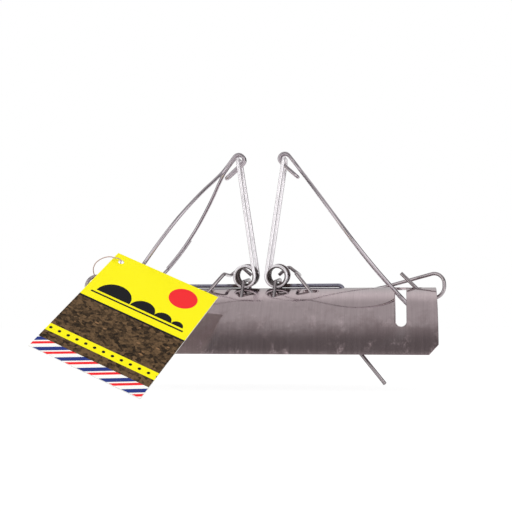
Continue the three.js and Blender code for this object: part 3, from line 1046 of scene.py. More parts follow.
class Shader:
    """A node tree that is built from Python expressions."""

    def __init__(self, tree):
        self.tree = tree
        tree.nodes.clear()

    def add(self, kind, settings=None, inputs=None, output=0):
        """A node: its settings first, then its sockets. Gives one of its outputs."""
        node = self.tree.nodes.new(kind)
        for name, value in (settings or {}).items():
            setattr(node, name, value)
        for name, value in (inputs or {}).items():
            socket = node.inputs[name]
            if isinstance(value, Flow):
                self.tree.links.new(value.socket, socket)
            elif socket.type == "RGBA" and len(value) == 3:
                socket.default_value = (*value, 1)
            else:
                socket.default_value = value
        return Flow(self, node.outputs[output]) if node.outputs else None

    def place(self):
        """Where a point lies in its piece's own measure, in metres."""
        return self.add("ShaderNodeAttribute", {"attribute_name": PLACE}, output="Vector")

    def size(self, value):
        """A value without its sign."""
        return self.add("ShaderNodeMath", {"operation": "ABSOLUTE"}, {0: value})

    def larger(self, first, second):
        """The larger of two values."""
        return self.add("ShaderNodeMath", {"operation": "MAXIMUM"}, {0: first, 1: second})

    def scaled(self, tone, brightness):
        """A colour, made brighter or darker."""
        settings = {"operation": "SCALE"}
        return self.add("ShaderNodeVectorMath", settings, {0: tone, "Scale": brightness})

    def split(self, vector):
        """The three numbers of a vector."""
        node = self.add("ShaderNodeSeparateXYZ", inputs={0: vector}).socket.node
        return [Flow(self, socket) for socket in node.outputs]

    def stretched(self, vector, scales):
        """A vector, each of its numbers scaled on its own."""
        settings = {"operation": "MULTIPLY"}
        return self.add("ShaderNodeVectorMath", settings, {0: vector, 1: scales})

    def noise(self, vector, scales, detail=3, roughness=0.5, distortion=0):
        """Soft noise, its grain stretched by three scales."""
        inputs = {
            "Vector": self.stretched(vector, scales),
            "Scale": 1,
            "Detail": detail,
            "Roughness": roughness,
            "Distortion": distortion,
        }
        return self.add("ShaderNodeTexNoise", inputs=inputs)

    def cells(self, vector, scales, output="Distance"):
        """Random cells, stretched by three scales."""
        inputs = {"Vector": self.stretched(vector, scales), "Scale": 1}
        return self.add("ShaderNodeTexVoronoi", inputs=inputs, output=output)

    def ramp(self, value, low, high, start=0, end=1):
        """A smooth step from start to end as a value goes from low to high."""
        inputs = {"Value": value, "From Min": low, "From Max": high, "To Min": start, "To Max": end}
        return self.add("ShaderNodeMapRange", {"interpolation_type": "SMOOTHSTEP"}, inputs)

    def mix(self, factor, first, second):
        """One colour where the factor is 0, another where it is 1."""
        inputs = {MIX_FACTOR: factor, MIX_FIRST: first, MIX_SECOND: second}
        return self.add("ShaderNodeMix", {"data_type": "RGBA"}, inputs, MIX_RESULT)

    def bump(self, height, distance, strength=1):
        """A normal that a height raises by a distance."""
        inputs = {"Height": height, "Distance": distance, "Strength": strength}
        return self.add("ShaderNodeBump", inputs=inputs)

    def surface(self, inputs):
        """The Principled surface, joined to the output."""
        shine = self.add("ShaderNodeBsdfPrincipled", inputs=inputs)
        self.add("ShaderNodeOutputMaterial", inputs={"Surface": shine})


def new_material(name):
    """An empty material and its expressions."""
    material = bpy.data.materials.new(name)
    material.use_nodes = True
    return material, Shader(material.node_tree)


def dimmed(tone, part):
    """A part of a colour, or a brighter one where the part is above 1."""
    return tuple(min(1, part * level) for level in tone)


def grey(level):
    """A colour without a hue."""
    return (level, level, level)


# Rolled sheet: grains in a metre along the barrel and round it

SHEET_LINES = (2600, 55, 1)
SHEET_BROAD_LINES = (700, 22, 1)
SHEET_CLOUDS = (75, 105, 1)
SHEET_SPOTS = (330, 300, 1)
SHEET_SCUFFS = (150, 120, 1)
SHEET_SCRATCHES = (1300, 130, 1)

# How far round from the barrel's top its lower part, darkened by painted shade and scuffed, and its
# scuffed edge begin and end

SHEET_LOW_SHADE_AND_WEAR = (0.02, 0.044)
SHEET_EDGE = (0.036, 0.044)

# Between which levels of noise the sheet's marks show

# The first pair is for tarnished clouds and spots mixed with painted shade toward the long edges
TARNISH_AND_SHADE_SHOW = (0.6, 1)
SCUFFS_SHOW = (0.52, 0.68)
SCRATCHES_SHOW = (0.74, 0.8)
GRAIN_SHOWS = (0.36, 0.64)

# How much brighter the marks make the sheet

GRAIN_LIGHT = 0.055
SCRATCH_LIGHT = 0.16
SCUFF_LIGHT = 0.1
WORN_SCUFF_LIGHT = 0.3
EDGE_SCUFF_LIGHT = 0.5

# The sheet's roughness, what its marks add to it, and its relief

SHEET_ROUGHNESS = 0.1
TARNISH_ROUGHNESS = 0.07
GRAIN_ROUGHNESS = 0.02
SCUFF_ROUGHNESS = 0.12
SHEET_RELIEF = 0.00002
SHEET_RELIEF_STRENGTH = 0.4


def rolled_sheet(trap):
    """Mill-rolled sheet: fine lines round the barrel, cloudy tarnished patches, painted shade
    darkening it toward the long edges, and a few scratches.
    """
    material, shade = new_material("rolled_sheet")
    finish = trap.finish
    place = shade.place()
    lines = shade.noise(place, SHEET_LINES, detail=4, roughness=0.6)
    broad_lines = shade.noise(place, SHEET_BROAD_LINES, detail=2)
    clouds = shade.noise(place, SHEET_CLOUDS, detail=5, roughness=0.6, distortion=0.6)
    spots = shade.noise(place, SHEET_SPOTS, detail=3, roughness=0.65)
    round_barrel = shade.size(shade.split(place)[1])
    # The lower part toward the long edges: painted shade darkens it, and it gathers more scuffs
    low_shade_and_wear = shade.ramp(round_barrel, *SHEET_LOW_SHADE_AND_WEAR)
    edge = shade.ramp(round_barrel, *SHEET_EDGE)
    # Tarnished clouds and spots, plus painted shade that deepens toward the long edges
    tarnish_and_shade = shade.ramp(low_shade_and_wear * 0.45 + clouds * 0.8 + spots * 0.3, *TARNISH_AND_SHADE_SHOW)
    scuffs = shade.noise(place, SHEET_SCUFFS, detail=6, roughness=0.75)
    scuffs = shade.ramp(scuffs, *SCUFFS_SHOW)
    scratches = shade.noise(place, SHEET_SCRATCHES, detail=1, distortion=1.2)
    scratches = shade.ramp(scratches, *SCRATCHES_SHOW)
    grain = shade.ramp(lines * 0.6 + broad_lines * 0.4, *GRAIN_SHOWS, -1, 1)
    scuff_light = SCUFF_LIGHT + low_shade_and_wear * WORN_SCUFF_LIGHT + edge * EDGE_SCUFF_LIGHT
    brightness = 1 + grain * GRAIN_LIGHT + scratches * SCRATCH_LIGHT + scuffs * scuff_light
    roughness = SHEET_ROUGHNESS + tarnish_and_shade * TARNISH_ROUGHNESS + grain * GRAIN_ROUGHNESS
    base = shade.mix(tarnish_and_shade, tuple(finish.sheet), tuple(finish.sheet_dark))
    height = lines * 0.4 + broad_lines * 0.6 + clouds * 0.8
    shade.surface({
        "Base Color": shade.scaled(base, brightness),
        "Metallic": 1,
        "Roughness": roughness + scuffs * low_shade_and_wear * SCUFF_ROUGHNESS,
        "Normal": shade.bump(height, SHEET_RELIEF, SHEET_RELIEF_STRENGTH),
    })
    return material


# Shares of the coil's radius between which the greasy dirt and painted shade in the coils thin out

GREASE_AND_SHADE_THINS = (1.5, 1.9)

# Shares of the wire before the arms' turns between which it stops

GREASE_AND_SHADE_STOPS = (1.6, 1)

# Shares of the wire about the coil's centre line between which it lines the bore

GREASE_AND_SHADE_BORE = (-0.3, 0.1)

# How much of the wire's own tone it hides

GREASE_AND_SHADE_COVER = 0.6


def coil_grease_and_shade(trap, shade):
    """How much dark greasy dirt and painted shade lie in a coil: on its inner turns and all along
    its bore, where shade falls.
    """
    spring = trap.spring
    x, y, z = shade.split(shade.add("ShaderNodeTexCoord", output="Object"))
    back = y - trap.barrel.middle
    aside = shade.size(x) - spring.axis_x
    above = z - coil_axis_height(trap) - back * spring.rise
    reach = (aside ** 2 + above ** 2) ** 0.5
    thins = [part * spring.radius for part in GREASE_AND_SHADE_THINS]
    stops = [arm_start(trap) - part * spring.wire for part in GREASE_AND_SHADE_STOPS]
    bores = [spring.radius + part * spring.wire for part in GREASE_AND_SHADE_BORE]
    near = shade.ramp(reach, *thins, 1, 0)
    inner = shade.ramp(shade.size(back), *stops, 1, 0)
    bore = shade.ramp(reach, *bores, 1, 0)
    return near * (inner + (1 - inner) * bore)


# Drawn wire: grains in a metre along the wire and through it

WIRE_LINES = (25, 1900, 1900)
WIRE_STAIN = (90, 240, 240)
WIRE_MARKS = (420, 900, 900)

# Between which levels of noise the wire's marks show

WIRE_GRAIN_SHOWS = (0.35, 0.65)
STAIN_SHOWS = (0.48, 0.78)
MARKS_SHOW = (0.66, 0.76)

# How the marks change the wire's tone

STAIN_COVER = 0.6
STAIN_TONE = 0.62
MARK_SHADE = 0.1
WIRE_GRAIN_LIGHT = 0.02

# How much rougher they make it, and its relief

WIRE_GRAIN_ROUGHNESS = 0.015
MARK_ROUGHNESS = 0.08
STAIN_ROUGHNESS = 0.06
WIRE_RELIEF = 0.000004
WIRE_RELIEF_STRENGTH = 0.2


def drawn_wire(trap, name, tone, dullness, metal=1, greased_and_shaded=False):
    """Drawn wire: lines along it from the die, and patches of faint stain."""
    material, shade = new_material(name)
    place = shade.place()
    lines = shade.noise(place, WIRE_LINES, detail=3, roughness=0.6)
    stain = shade.noise(place, WIRE_STAIN, detail=4, roughness=0.6)
    marks = shade.ramp(shade.noise(place, WIRE_MARKS, detail=2), *MARKS_SHOW)
    grain = shade.ramp(lines, *WIRE_GRAIN_SHOWS, -1, 1)
    stained = shade.ramp(stain, *STAIN_SHOWS) * STAIN_COVER
    base = shade.mix(stained, tuple(tone), dimmed(tone, STAIN_TONE))
    if greased_and_shaded:
        # Greasy dirt and painted shade darken the coils' bores and inner turns
        grease_and_shade = coil_grease_and_shade(trap, shade)
        cover = grease_and_shade * GREASE_AND_SHADE_COVER * (1 + stain)
        base = shade.mix(cover, base, tuple(trap.finish.grease_and_shade_tone))
        metal = metal + grease_and_shade * (1 - metal)
    roughness = dullness + grain * WIRE_GRAIN_ROUGHNESS + marks * MARK_ROUGHNESS
    shade.surface({
        "Base Color": shade.scaled(base, 1 + grain * WIRE_GRAIN_LIGHT - marks * MARK_SHADE),
        "Metallic": metal,
        "Roughness": roughness + stain * STAIN_ROUGHNESS,
        "Normal": shade.bump(lines + marks * 0.5, WIRE_RELIEF, WIRE_RELIEF_STRENGTH),
    })
    return material


# The tag's plain print, in metres across and down from the card's top left corner

HORIZON = 0.0318
HORIZON_LINE = (0.0318, 0.0328)
HILL_FOOT = 0.0262
HILLS = ((0.0125, 0.0078), (0.0262, 0.0056), (0.0357, 0.004), (0.0425, 0.0027))
SUN = (0.0372, 0.0098, 0.0062)
GROUND_DOWN = (0.0273, 0.0282)
GROUND_ACROSS = (0.003, 0.0462)
BAND = (0.0536, 0.0578)
DOT_DOWN = 0.0557
DOT_SHIFT = 0.0005
DOT_SPACING = 0.004
DOT_RADIUS = 0.0007
STRIPES_TOP = 0.0622
STRIPE_SLANT = 1.4
STRIPE_SPACING = 0.0098
BLUE_STRIPE = 0.0033
RED_STRIPE = (0.0045, 0.0067)

# Grains of the printed earth and of the paper in a metre

EARTH_GRIT = (900, 900, 1)
EARTH_CRUMBS = (620, 800, 1)
EARTH_CHIPS = (260, 640, 1)
PAPER_WEAR = (240, 240, 1)

# Between which levels of noise the earth brightens, and its ends as shares of the soil

EARTH_SHOWS = (0.3, 0.72)
EARTH_DARK = 0.25
EARTH_BRIGHT = 2.6

# The share of the earth's cells that hold no chip, and a chip's radius as a share of a cell

CHIP_RARITY = 0.82
CHIP_SIZE = 0.24

# The print's roughness, how much its wear adds, its shine and its relief

PRINT_ROUGHNESS = 0.42
WEAR_ROUGHNESS = 0.1
PRINT_SHINE = 0.1
PRINT_RELIEF_STRENGTH = 0.3
PAPER_RELIEF = 0.00003


def within(value, low, high):
    """1 where a value lies between two others, else 0."""
    return (value > low) * (value < high)


def printed_earth(shade, place, finish):
    """Speckled earth with crumbs and pale chips."""
    grit = shade.noise(place, EARTH_GRIT, detail=5, roughness=0.7)
    crumb = shade.split(shade.cells(place, EARTH_CRUMBS, "Color"))[0]
    chip = shade.split(shade.cells(place, EARTH_CHIPS, "Color"))[0]
    chip_shape = shade.cells(place, EARTH_CHIPS) < CHIP_SIZE
    light = shade.ramp(grit * 0.7 + crumb * 0.3, *EARTH_SHOWS)
    dark, bright = dimmed(finish.soil, EARTH_DARK), dimmed(finish.soil, EARTH_BRIGHT)
    earth = shade.mix(light, dark, bright)
    return shade.mix((chip > CHIP_RARITY) * chip_shape, earth, tuple(finish.chips))


def printed_card(trap):
    """Matt print: yellow field with a plain hill motif over speckled earth and stripes."""
    material, shade = new_material("printed_card")
    finish = trap.finish
    place = shade.place()
    across, up, _ = shade.split(place)
    down = 0 - up
    yellow, black, red = tuple(finish.yellow), tuple(finish.black), tuple(finish.red)

    def disc(x, y, radius):
        return ((across - x) ** 2 + (down - y) ** 2) < radius * radius

    hills = 0
    for x, radius in HILLS:
        hills = shade.larger(hills, disc(x, HILL_FOOT, radius))
    ground = within(down, *GROUND_DOWN) * within(across, *GROUND_ACROSS)
    ink = shade.mix(disc(*SUN), yellow, red)
    ink = shade.mix(hills * (down < HILL_FOOT), ink, black)
    ink = shade.mix(ground, ink, black)
    ink = shade.mix(down < HORIZON, printed_earth(shade, place, finish), ink)
    ink = shade.mix(within(down, *HORIZON_LINE), ink, black)

    band = within(down, *BAND)
    beside = (across + DOT_SHIFT) % DOT_SPACING - DOT_SPACING / 2
    dots = beside ** 2 + (down - DOT_DOWN) ** 2 < DOT_RADIUS ** 2
    ink = shade.mix(band, ink, yellow)
    ink = shade.mix(dots * band, ink, black)

    slant = (across + down * STRIPE_SLANT) % STRIPE_SPACING
    stripes = shade.mix(slant < BLUE_STRIPE, tuple(finish.board), tuple(finish.blue))
    stripes = shade.mix(within(slant, *RED_STRIPE), stripes, red)
    ink = shade.mix(down > STRIPES_TOP, ink, stripes)
    wear = shade.noise(place, PAPER_WEAR, detail=3)
    shade.surface({
        "Base Color": ink,
        "Roughness": PRINT_ROUGHNESS + wear * WEAR_ROUGHNESS,
        "Specular IOR Level": PRINT_SHINE,
        "Normal": shade.bump(wear, PAPER_RELIEF, PRINT_RELIEF_STRENGTH),
    })
    return material


# The bare board's grains in a metre, tone, roughness and relief

BOARD_FIBRES = (1500, 900, 1)
BOARD_SHADOWS = (90, 70, 1)
BOARD_SHOWS = (0.35, 0.7)
BOARD_DARK = 0.8
BOARD_ROUGHNESS = 0.62
BOARD_FIBRE_ROUGHNESS = 0.15
BOARD_RELIEF_STRENGTH = 0.5


def bare_board(trap):
    """The card's unprinted back and cut edge."""
    material, shade = new_material("bare_board")
    place = shade.place()
    fibres = shade.noise(place, BOARD_FIBRES, detail=4, roughness=0.65)
    shadows = shade.noise(place, BOARD_SHADOWS, detail=2)
    light = shade.ramp(fibres * 0.6 + shadows * 0.4, *BOARD_SHOWS)
    board = tuple(trap.finish.board)
    shade.surface({
        "Base Color": shade.mix(light, dimmed(board, BOARD_DARK), board),
        "Roughness": BOARD_ROUGHNESS + fibres * BOARD_FIBRE_ROUGHNESS,
        "Normal": shade.bump(fibres, PAPER_RELIEF, BOARD_RELIEF_STRENGTH),
    })
    return material


# The twine's grains in a metre, tone, roughness and relief

TWINE_FIBRES = (2200, 9000, 9000)
TWINE_SHOWS = (0.35, 0.65)
TWINE_DARK = 0.55
TWINE_ROUGHNESS = 0.7
TWINE_FIBRE_ROUGHNESS = 0.2
TWINE_RELIEF = 0.00004
TWINE_RELIEF_STRENGTH = 0.8


def twisted_twine(trap):
    """Thin twisted twine with loose fibres."""
    material, shade = new_material("twisted_twine")
    fibres = shade.noise(shade.place(), TWINE_FIBRES, detail=3, roughness=0.7, distortion=1)
    light = shade.ramp(fibres, *TWINE_SHOWS)
    twine = tuple(trap.finish.twine)
    shade.surface({
        "Base Color": shade.mix(light, dimmed(twine, TWINE_DARK), twine),
        "Roughness": TWINE_ROUGHNESS + fibres * TWINE_FIBRE_ROUGHNESS,
        "Normal": shade.bump(fibres, TWINE_RELIEF, TWINE_RELIEF_STRENGTH),
    })
    return material


# The studio's greys, where 1 is white: the floor as the trap and as the camera sees it

FLOOR_PALE = 0.9
FLOOR_MOTTLED = 0.84
FLOOR_SHADED = 0.12
FLOOR_GLOW = 0.93

# The room's: the parts that metal mirrors, and its light on everything else

CEILING = 0.62
WALLS = 0.25
BACK_GLOW = 0.38
SIDE_SHARE = 0.25
LOW_BACK_SHARE = 0.2
DARKEST = 0.11
ROOM_LIGHT = 0.72

# Where in the room they begin and end, by how far a direction points up, back or aside

RISES = (0.05, 0.4)
CEILING_RISES = (0.35, 0.95)
BACK_BEGINS = (-0.3, 0.1)
BACK_GLOWS = (0.1, 0.6)
BACK_WHITENS = (0.95, 0.985)
SIDES_DARKEN = (0.4, 0.8)

# The floor's mottling: grains in a metre, and its share

FLOOR_GRAIN = (60, 60, 60)
FLOOR_MOTTLE = 0.1

# Each lamp's name, place, width and height, power in watts, and whether metal mirrors it

LAMPS = (
    ("lamp_key", (-0.75, -0.55, 0.4), (1, 0.9), 3.4, True),
    ("lamp_fill", (0.75, -0.8, 0.3), (1, 0.8), 3.8, True),
    ("lamp_back", (-0.3, 0.55, 0.22), (0.5, 0.4), 2, False),
    ("lamp_top", (0.05, 0.15, 1.1), (0.9, 0.6), 2.5, False),
)
LAMP_TARGET = (0, 0.0285, 0.03)


def seen(shader):
    """1 for rays that reach the camera directly, off a mirroring surface, and through glass."""
    node = shader.add("ShaderNodeLightPath").socket.node
    names = ("Is Camera Ray", "Is Glossy Ray", "Is Transmission Ray")
    return [Flow(shader, node.outputs[name]) for name in names]


def pale_floor():
    """A white floor that still takes the trap's soft shadow."""
    material, shade = new_material("pale_floor")
    place = shade.add("ShaderNodeTexCoord", output="Object")
    mottle = shade.noise(place, FLOOR_GRAIN, detail=2)
    tone = shade.mix(mottle * FLOOR_MOTTLE, grey(FLOOR_PALE), grey(FLOOR_MOTTLED))
    matt = shade.add("ShaderNodeBsdfDiffuse", inputs={"Color": tone})
    shaded = shade.add("ShaderNodeBsdfDiffuse", inputs={"Color": grey(FLOOR_SHADED)})
    glow = shade.add("ShaderNodeEmission", inputs={"Color": grey(FLOOR_GLOW), "Strength": 1})
    camera_view = shade.add("ShaderNodeAddShader", inputs={0: shaded, 1: glow})
    whole = shade.add("ShaderNodeMixShader", inputs={0: seen(shade)[0], 1: matt, 2: camera_view})
    shade.add("ShaderNodeOutputMaterial", inputs={"Surface": whole})
    return material


# The tools that build each piece


class TRAP_OT_stage(bpy.types.Operator):
    """Add the camera, the white studio, its lamps and the floor"""

    bl_idname = "trap.stage"
    bl_label = "Add Studio"

    def execute(self, context):
        studio = context.scene.mole_trap.studio
        self.add_camera(context, studio)
        self.add_world(context)
        self.add_floor(context, studio)
        for lamp in LAMPS:
            self.add_lamp(context, *lamp)
        context.scene.view_settings.view_transform = "Standard"
        return {"FINISHED"}

    def add_camera(self, context, studio):
        """The camera at the photograph's place."""
        camera = bpy.data.cameras.new("camera")
        camera.sensor_width = SENSOR
        camera.lens = studio.focal / PIXELS * SENSOR
        holder = bpy.data.objects.new("camera", camera)
        place = Vector(studio.camera)
        holder.location = place
        holder.rotation_euler = (Vector(studio.target) - place).to_track_quat("-Z", "Y").to_euler()
        context.scene.collection.objects.link(holder)
        context.scene.camera = holder

    def add_world(self, context):
        """White behind the trap, and a room that is dimmer in front."""
        world = bpy.data.worlds.new("studio")
        world.use_nodes = True
        context.scene.world = world
        shade = Shader(world.node_tree)
        straight, mirrored, through = seen(shade)
        direction = shade.add("ShaderNodeTexCoord", output="Generated")
        aside, ahead, up = shade.split(direction)
        room = shade.ramp(up, *CEILING_RISES, WALLS, CEILING)
        room = room + shade.ramp(ahead, *BACK_GLOWS, 0, BACK_GLOW) * shade.ramp(up, *RISES)
        room = room * shade.ramp(shade.size(aside), *SIDES_DARKEN, 1, SIDE_SHARE)
        low_back = shade.ramp(up, *RISES, LOW_BACK_SHARE, 1)
        room = shade.larger(room * shade.ramp(ahead, *BACK_BEGINS, 1, low_back), DARKEST)
        room = room + (1 - room) * shade.ramp(ahead, *BACK_WHITENS)
        clear = shade.larger(straight, through)
        level = clear + (1 - clear) * (mirrored * room + (1 - mirrored) * ROOM_LIGHT)
        glow = shade.add("ShaderNodeBackground", inputs={"Color": grey(1), "Strength": level})
        shade.add("ShaderNodeOutputWorld", inputs={"Surface": glow})

    def add_floor(self, context, studio):
        """A wide floor just under the trap."""
        mesh = bpy.data.meshes.new("floor")
        reach = studio.floor_reach
        corners = [(-reach, -reach), (reach, -reach), (reach, reach), (-reach, reach)]
        mesh.from_pydata([(x, y, studio.floor) for x, y in corners], [], [(0, 1, 2, 3)])
        mesh.materials.append(pale_floor())
        floor = bpy.data.objects.new("floor", mesh)
        context.scene.collection.objects.link(floor)

    def add_lamp(self, context, name, place, size, power, mirrored):
        """One soft lamp that faces the trap."""
        lamp = bpy.data.lights.new(name, "AREA")
        lamp.shape = "RECTANGLE"
        lamp.size, lamp.size_y = size
        lamp.energy = power
        holder = bpy.data.objects.new(name, lamp)
        holder.location = place
        aim = Vector(LAMP_TARGET) - Vector(place)
        holder.rotation_euler = aim.to_track_quat("-Z", "Y").to_euler()
        holder.visible_camera = False
        holder.visible_glossy = mirrored
        context.scene.collection.objects.link(holder)


# The string's plies, which turn once in so many of its widths

PLIES = 2
PLY_LENGTH = 3.5

# The knot's turns, which are narrow at both ends

KNOT_TURNS = 4
KNOT_NECK = 0.25
KNOT_FULLNESS = 0.7


class TRAP_OT_string(bpy.types.Operator):
    """Add the tag's string and its knot"""

    bl_idname = "trap.string"
    bl_label = "Add String"

    def execute(self, context):
        trap = context.scene.mole_trap
        tag = trap.tag
        twine = twisted_twine(trap)
        corners = laid(trap, 1, [Vector(point) for point in STRING_ROUTE])
        path = smooth_route(corners, STRING_STEPS)
        knot_path = self.knot_path(tag, path[-1], path[0])
        cord = (tag.string / 2, CORD_SIDES, PLIES, 2 * math.pi / (PLY_LENGTH * tag.string))
        mesh = swept("tag_string", path, *cord)
        string = made("tag_twine", mesh, twine, "tag", ["tag_string"])
        mesh = swept("tag_knot", knot_path, *cord)
        knot = made("tag_knot", mesh, twine, "tag")
        route_length(path)
        return {"FINISHED"}

    def knot_path(self, tag, start, end):
        """Turns of string wound from one end of the string to the other."""
        run = end - start
        tangent = run.normalized()
        side = tangent.orthogonal().normalized()
        up = tangent.cross(side)
        steps = KNOT_TURN_STEPS * KNOT_TURNS
        points = []
        for step in range(steps + 1):
            part = step / steps
            fullness = math.sin(math.pi * part) ** KNOT_FULLNESS
            swell = tag.string * (KNOT_NECK + (1 - KNOT_NECK) * fullness)
            angle = 2 * math.pi * KNOT_TURNS * part
            spoke = math.cos(angle) * side + math.sin(angle) * up
            points.append(start + run * part + swell * spoke)
        return points


# The sheet's waves: radians in a metre along it and round it, and their phases

CROSS_WAVE = (170, 95)
CROSS_PHASE = (1.3, 0.4)
SLANT_WAVE = (67, -140)
SLANT_PHASE = 2.1

# The slanting wave's share, and the share of the waviness by which both rise and fall

SLANT_SHARE = 0.6
WAVE_SHARE = 0.6


def sheet_wave(x, reach):
    """How uneven the sheet is at a place along it and round it."""
    along = math.sin(x * CROSS_WAVE[0] + CROSS_PHASE[0])
    across = math.cos(reach * CROSS_WAVE[1] + CROSS_PHASE[1])
    slant = math.sin(x * SLANT_WAVE[0] + reach * SLANT_WAVE[1] + SLANT_PHASE)
    return along * across + SLANT_SHARE * slant


class TRAP_OT_barrel(bpy.types.Operator):
    """Add the half barrel"""

    bl_idname = "trap.barrel"
    bl_label = "Add Barrel"

    def execute(self, context):
        trap = context.scene.mole_trap
        barrel = trap.barrel
        middle = barrel.middle
        staple_place = self.unrolled(barrel, staple_hole(trap, 1)[0])

        def rolled(x, reach, depth):
            away = math.hypot(abs(x) - trap.spring.axis_x, abs(reach) - staple_place)
            dent = (1 + math.cos(math.pi * min(away / barrel.dent_reach, 1))) / 2
            sunk = barrel.waviness * (1 + WAVE_SHARE * sheet_wave(x, reach))
            radius = barrel.radius - depth - sunk - barrel.dent_depth * dent
            angle = reach / middle
            return Vector((x, middle + radius * math.sin(angle), radius * math.cos(angle)))

        outer = split_outline(self.outline(barrel), SHEET_PITCH[0])
        thickness, rim = barrel.thickness, barrel.rim
        mesh = punched_sheet("barrel", outer, self.holes(trap), SHEET_PITCH, thickness, rim, rolled)
        made("barrel_sheet", mesh, rolled_sheet(trap), "barrel_body", ["barrel"])
        return {"FINISHED"}

    def unrolled(self, barrel, y):
        """How far round the roof a place lies from its top."""
        return barrel.middle * math.asin(y / barrel.middle)

    def outline(self, barrel):
        """The flat sheet with its four corners cut."""
        end = barrel.length / 2
        edge = barrel.middle * math.pi / 2
        cut = edge - barrel.middle * math.asin(barrel.cut_height / barrel.middle)
        quarter = [(end, cut), (end - barrel.cut_length, edge)]
        corners = quarter + [(-x, y) for x, y in reversed(quarter)]
        corners += [(-x, -y) for x, y in quarter] + [(x, -y) for x, y in reversed(quarter)]
        return [Vector(corner) for corner in corners]

    def loop_slot(self, barrel, side, wall):
        """A killing loop's slot: square at the roof, round at its foot."""
        half = barrel.slot_width / 2
        top = self.unrolled(barrel, barrel.bridge / 2)
        foot = barrel.middle * math.acos(barrel.slot_foot / barrel.middle) - half
        points = [(half, top)]
        for step in range(SLOT_STEPS + 1):
            angle = math.pi * step / SLOT_STEPS
            points.append((half * math.cos(angle), foot + half * math.sin(angle)))
        points.append((-half, top))
        if wall < 0:
            points = [(x, -y) for x, y in reversed(points)]
        corners = [Vector((side * barrel.slot_x + x, y)) for x, y in points]
        return split_outline(corners, SHEET_PITCH[0])

    def holes(self, trap):
        """Every hole and slot of the sheet."""
        barrel = trap.barrel
        spring = trap.spring
        trigger = trap.trigger
        retainer = trap.retainer
        staple_width = trap.staple.wire + 2 * trap.staple.hole_gap
        leg_width = spring.wire + 2 * spring.hole_gap
        holes = []
        for _, side in SIDES:
            for wall in (-1, 1):
                holes.append(self.loop_slot(barrel, side, wall))
                y, length = staple_hole(trap, wall)
                middle = self.unrolled(barrel, y)
                holes.append(slot_outline(side * spring.axis_x, middle, length, staple_width, True))
            middle = self.unrolled(barrel, -trigger.side)
            x = side * trigger.spacing / 2
            holes.append(slot_outline(x, middle, trigger.slot_length, trigger.slot_width))
            length = spring.turn_step + leg_width
            holes.append(slot_outline(side * spring.leg_x, 0, length, leg_width, True))
            middle = self.unrolled(barrel, -retainer.side)
            x = side * retainer_hole_x(trap)
            holes.append(slot_outline(x, middle, retainer.hole, retainer.hole))
        return holes


class TRAP_OT_springs(bpy.types.Operator):
    """Add both springs: their arms and their coils"""

    bl_idname = "trap.springs"
    bl_label = "Add Springs"

    def execute(self, context):
        trap = context.scene.mole_trap
        finish = trap.finish
        dullness, metal = finish.spring_dullness, finish.spring_metal
        bright = drawn_wire(trap, "spring_wire", finish.spring, dullness, metal, greased_and_shaded=True)
        # The inner turns and legs take the darker copy of the spring wire, as painted shade
        shaded_wire_copy = drawn_wire(trap, "shaded_leg_wire", finish.leg, finish.leg_dullness, greased_and_shaded=True)
        radius = trap.spring.wire / 2
        for name, side in SIDES:
            route = laid(trap, side, arms_route(trap))
            mesh = swept(f"{name}_arms", route, radius)
            nodes = [f"{name}_spring_arms"]
            made(f"{name}_arms_wire", mesh, bright, f"{name}_arms", nodes)
            for part, end in (("front", -1), ("rear", 1)):
                route = laid(trap, side, coil_route(trap, end))
                mesh = swept(f"{name}_{part}_coil", route, radius)
                nodes = [f"{name}_spring_{part}_coil"]
                piece = f"{name}_{part}_coil_wire"
                made(piece, mesh, shaded_wire_copy, "barrel_body", nodes)
        return {"FINISHED"}


class TRAP_OT_loops(bpy.types.Operator):
    """Add both killing loops"""

    bl_idname = "trap.loops"
    bl_label = "Add Killing Loops"

    def execute(self, context):
        trap = context.scene.mole_trap
        wire = drawn_wire(trap, "loop_wire", trap.finish.loop, trap.finish.loop_dullness)
        for name, side in SIDES:
            mesh = swept(f"{name}_loop", laid(trap, side, loop_route(trap)), trap.loop.wire / 2)
            nodes = [f"{name}_killing_loop"]
            made(f"{name}_loop_wire", mesh, wire, f"{name}_loop", nodes)
        return {"FINISHED"}


class TRAP_OT_pins(bpy.types.Operator):
    """Add the trigger pins and the retaining wires"""

    bl_idname = "trap.pins"
    bl_label = "Add Triggers and Retainers"

    def execute(self, context):
        trap = context.scene.mole_trap
        wire = drawn_wire(trap, "pin_wire", trap.finish.pin, trap.finish.pin_dullness)
        for name, side in SIDES:
            route = laid(trap, side, trigger_route(trap))
            mesh = swept(f"{name}_trigger", route, trap.trigger.wire / 2)
            nodes = [f"{name}_trigger_pin"]
            made(f"{name}_trigger_wire", mesh, wire, f"{name}_trigger", nodes)
            route = laid(trap, side, retainer_route(trap))
            mesh = swept(f"{name}_retainer", route, trap.retainer.wire / 2)
            nodes = [f"{name}_retaining_wire"]
            made(f"{name}_retainer_wire", mesh, wire, f"{name}_retainer", nodes)
        return {"FINISHED"}


class TRAP_OT_staples(bpy.types.Operator):
    """Add the staples that hold the coils"""

    bl_idname = "trap.staples"
    bl_label = "Add Staples"

    def execute(self, context):
        trap = context.scene.mole_trap
        wire = drawn_wire(trap, "staple_wire", trap.finish.pin, trap.finish.staple_dullness)
        for name, side in SIDES:
            route = laid(trap, side, staple_route(trap))
            mesh = swept(f"{name}_staple", route, trap.staple.wire / 2)
            nodes = [f"{name}_spring_staple"]
            made(f"{name}_staple_wire", mesh, wire, "barrel_body", nodes)
        return {"FINISHED"}


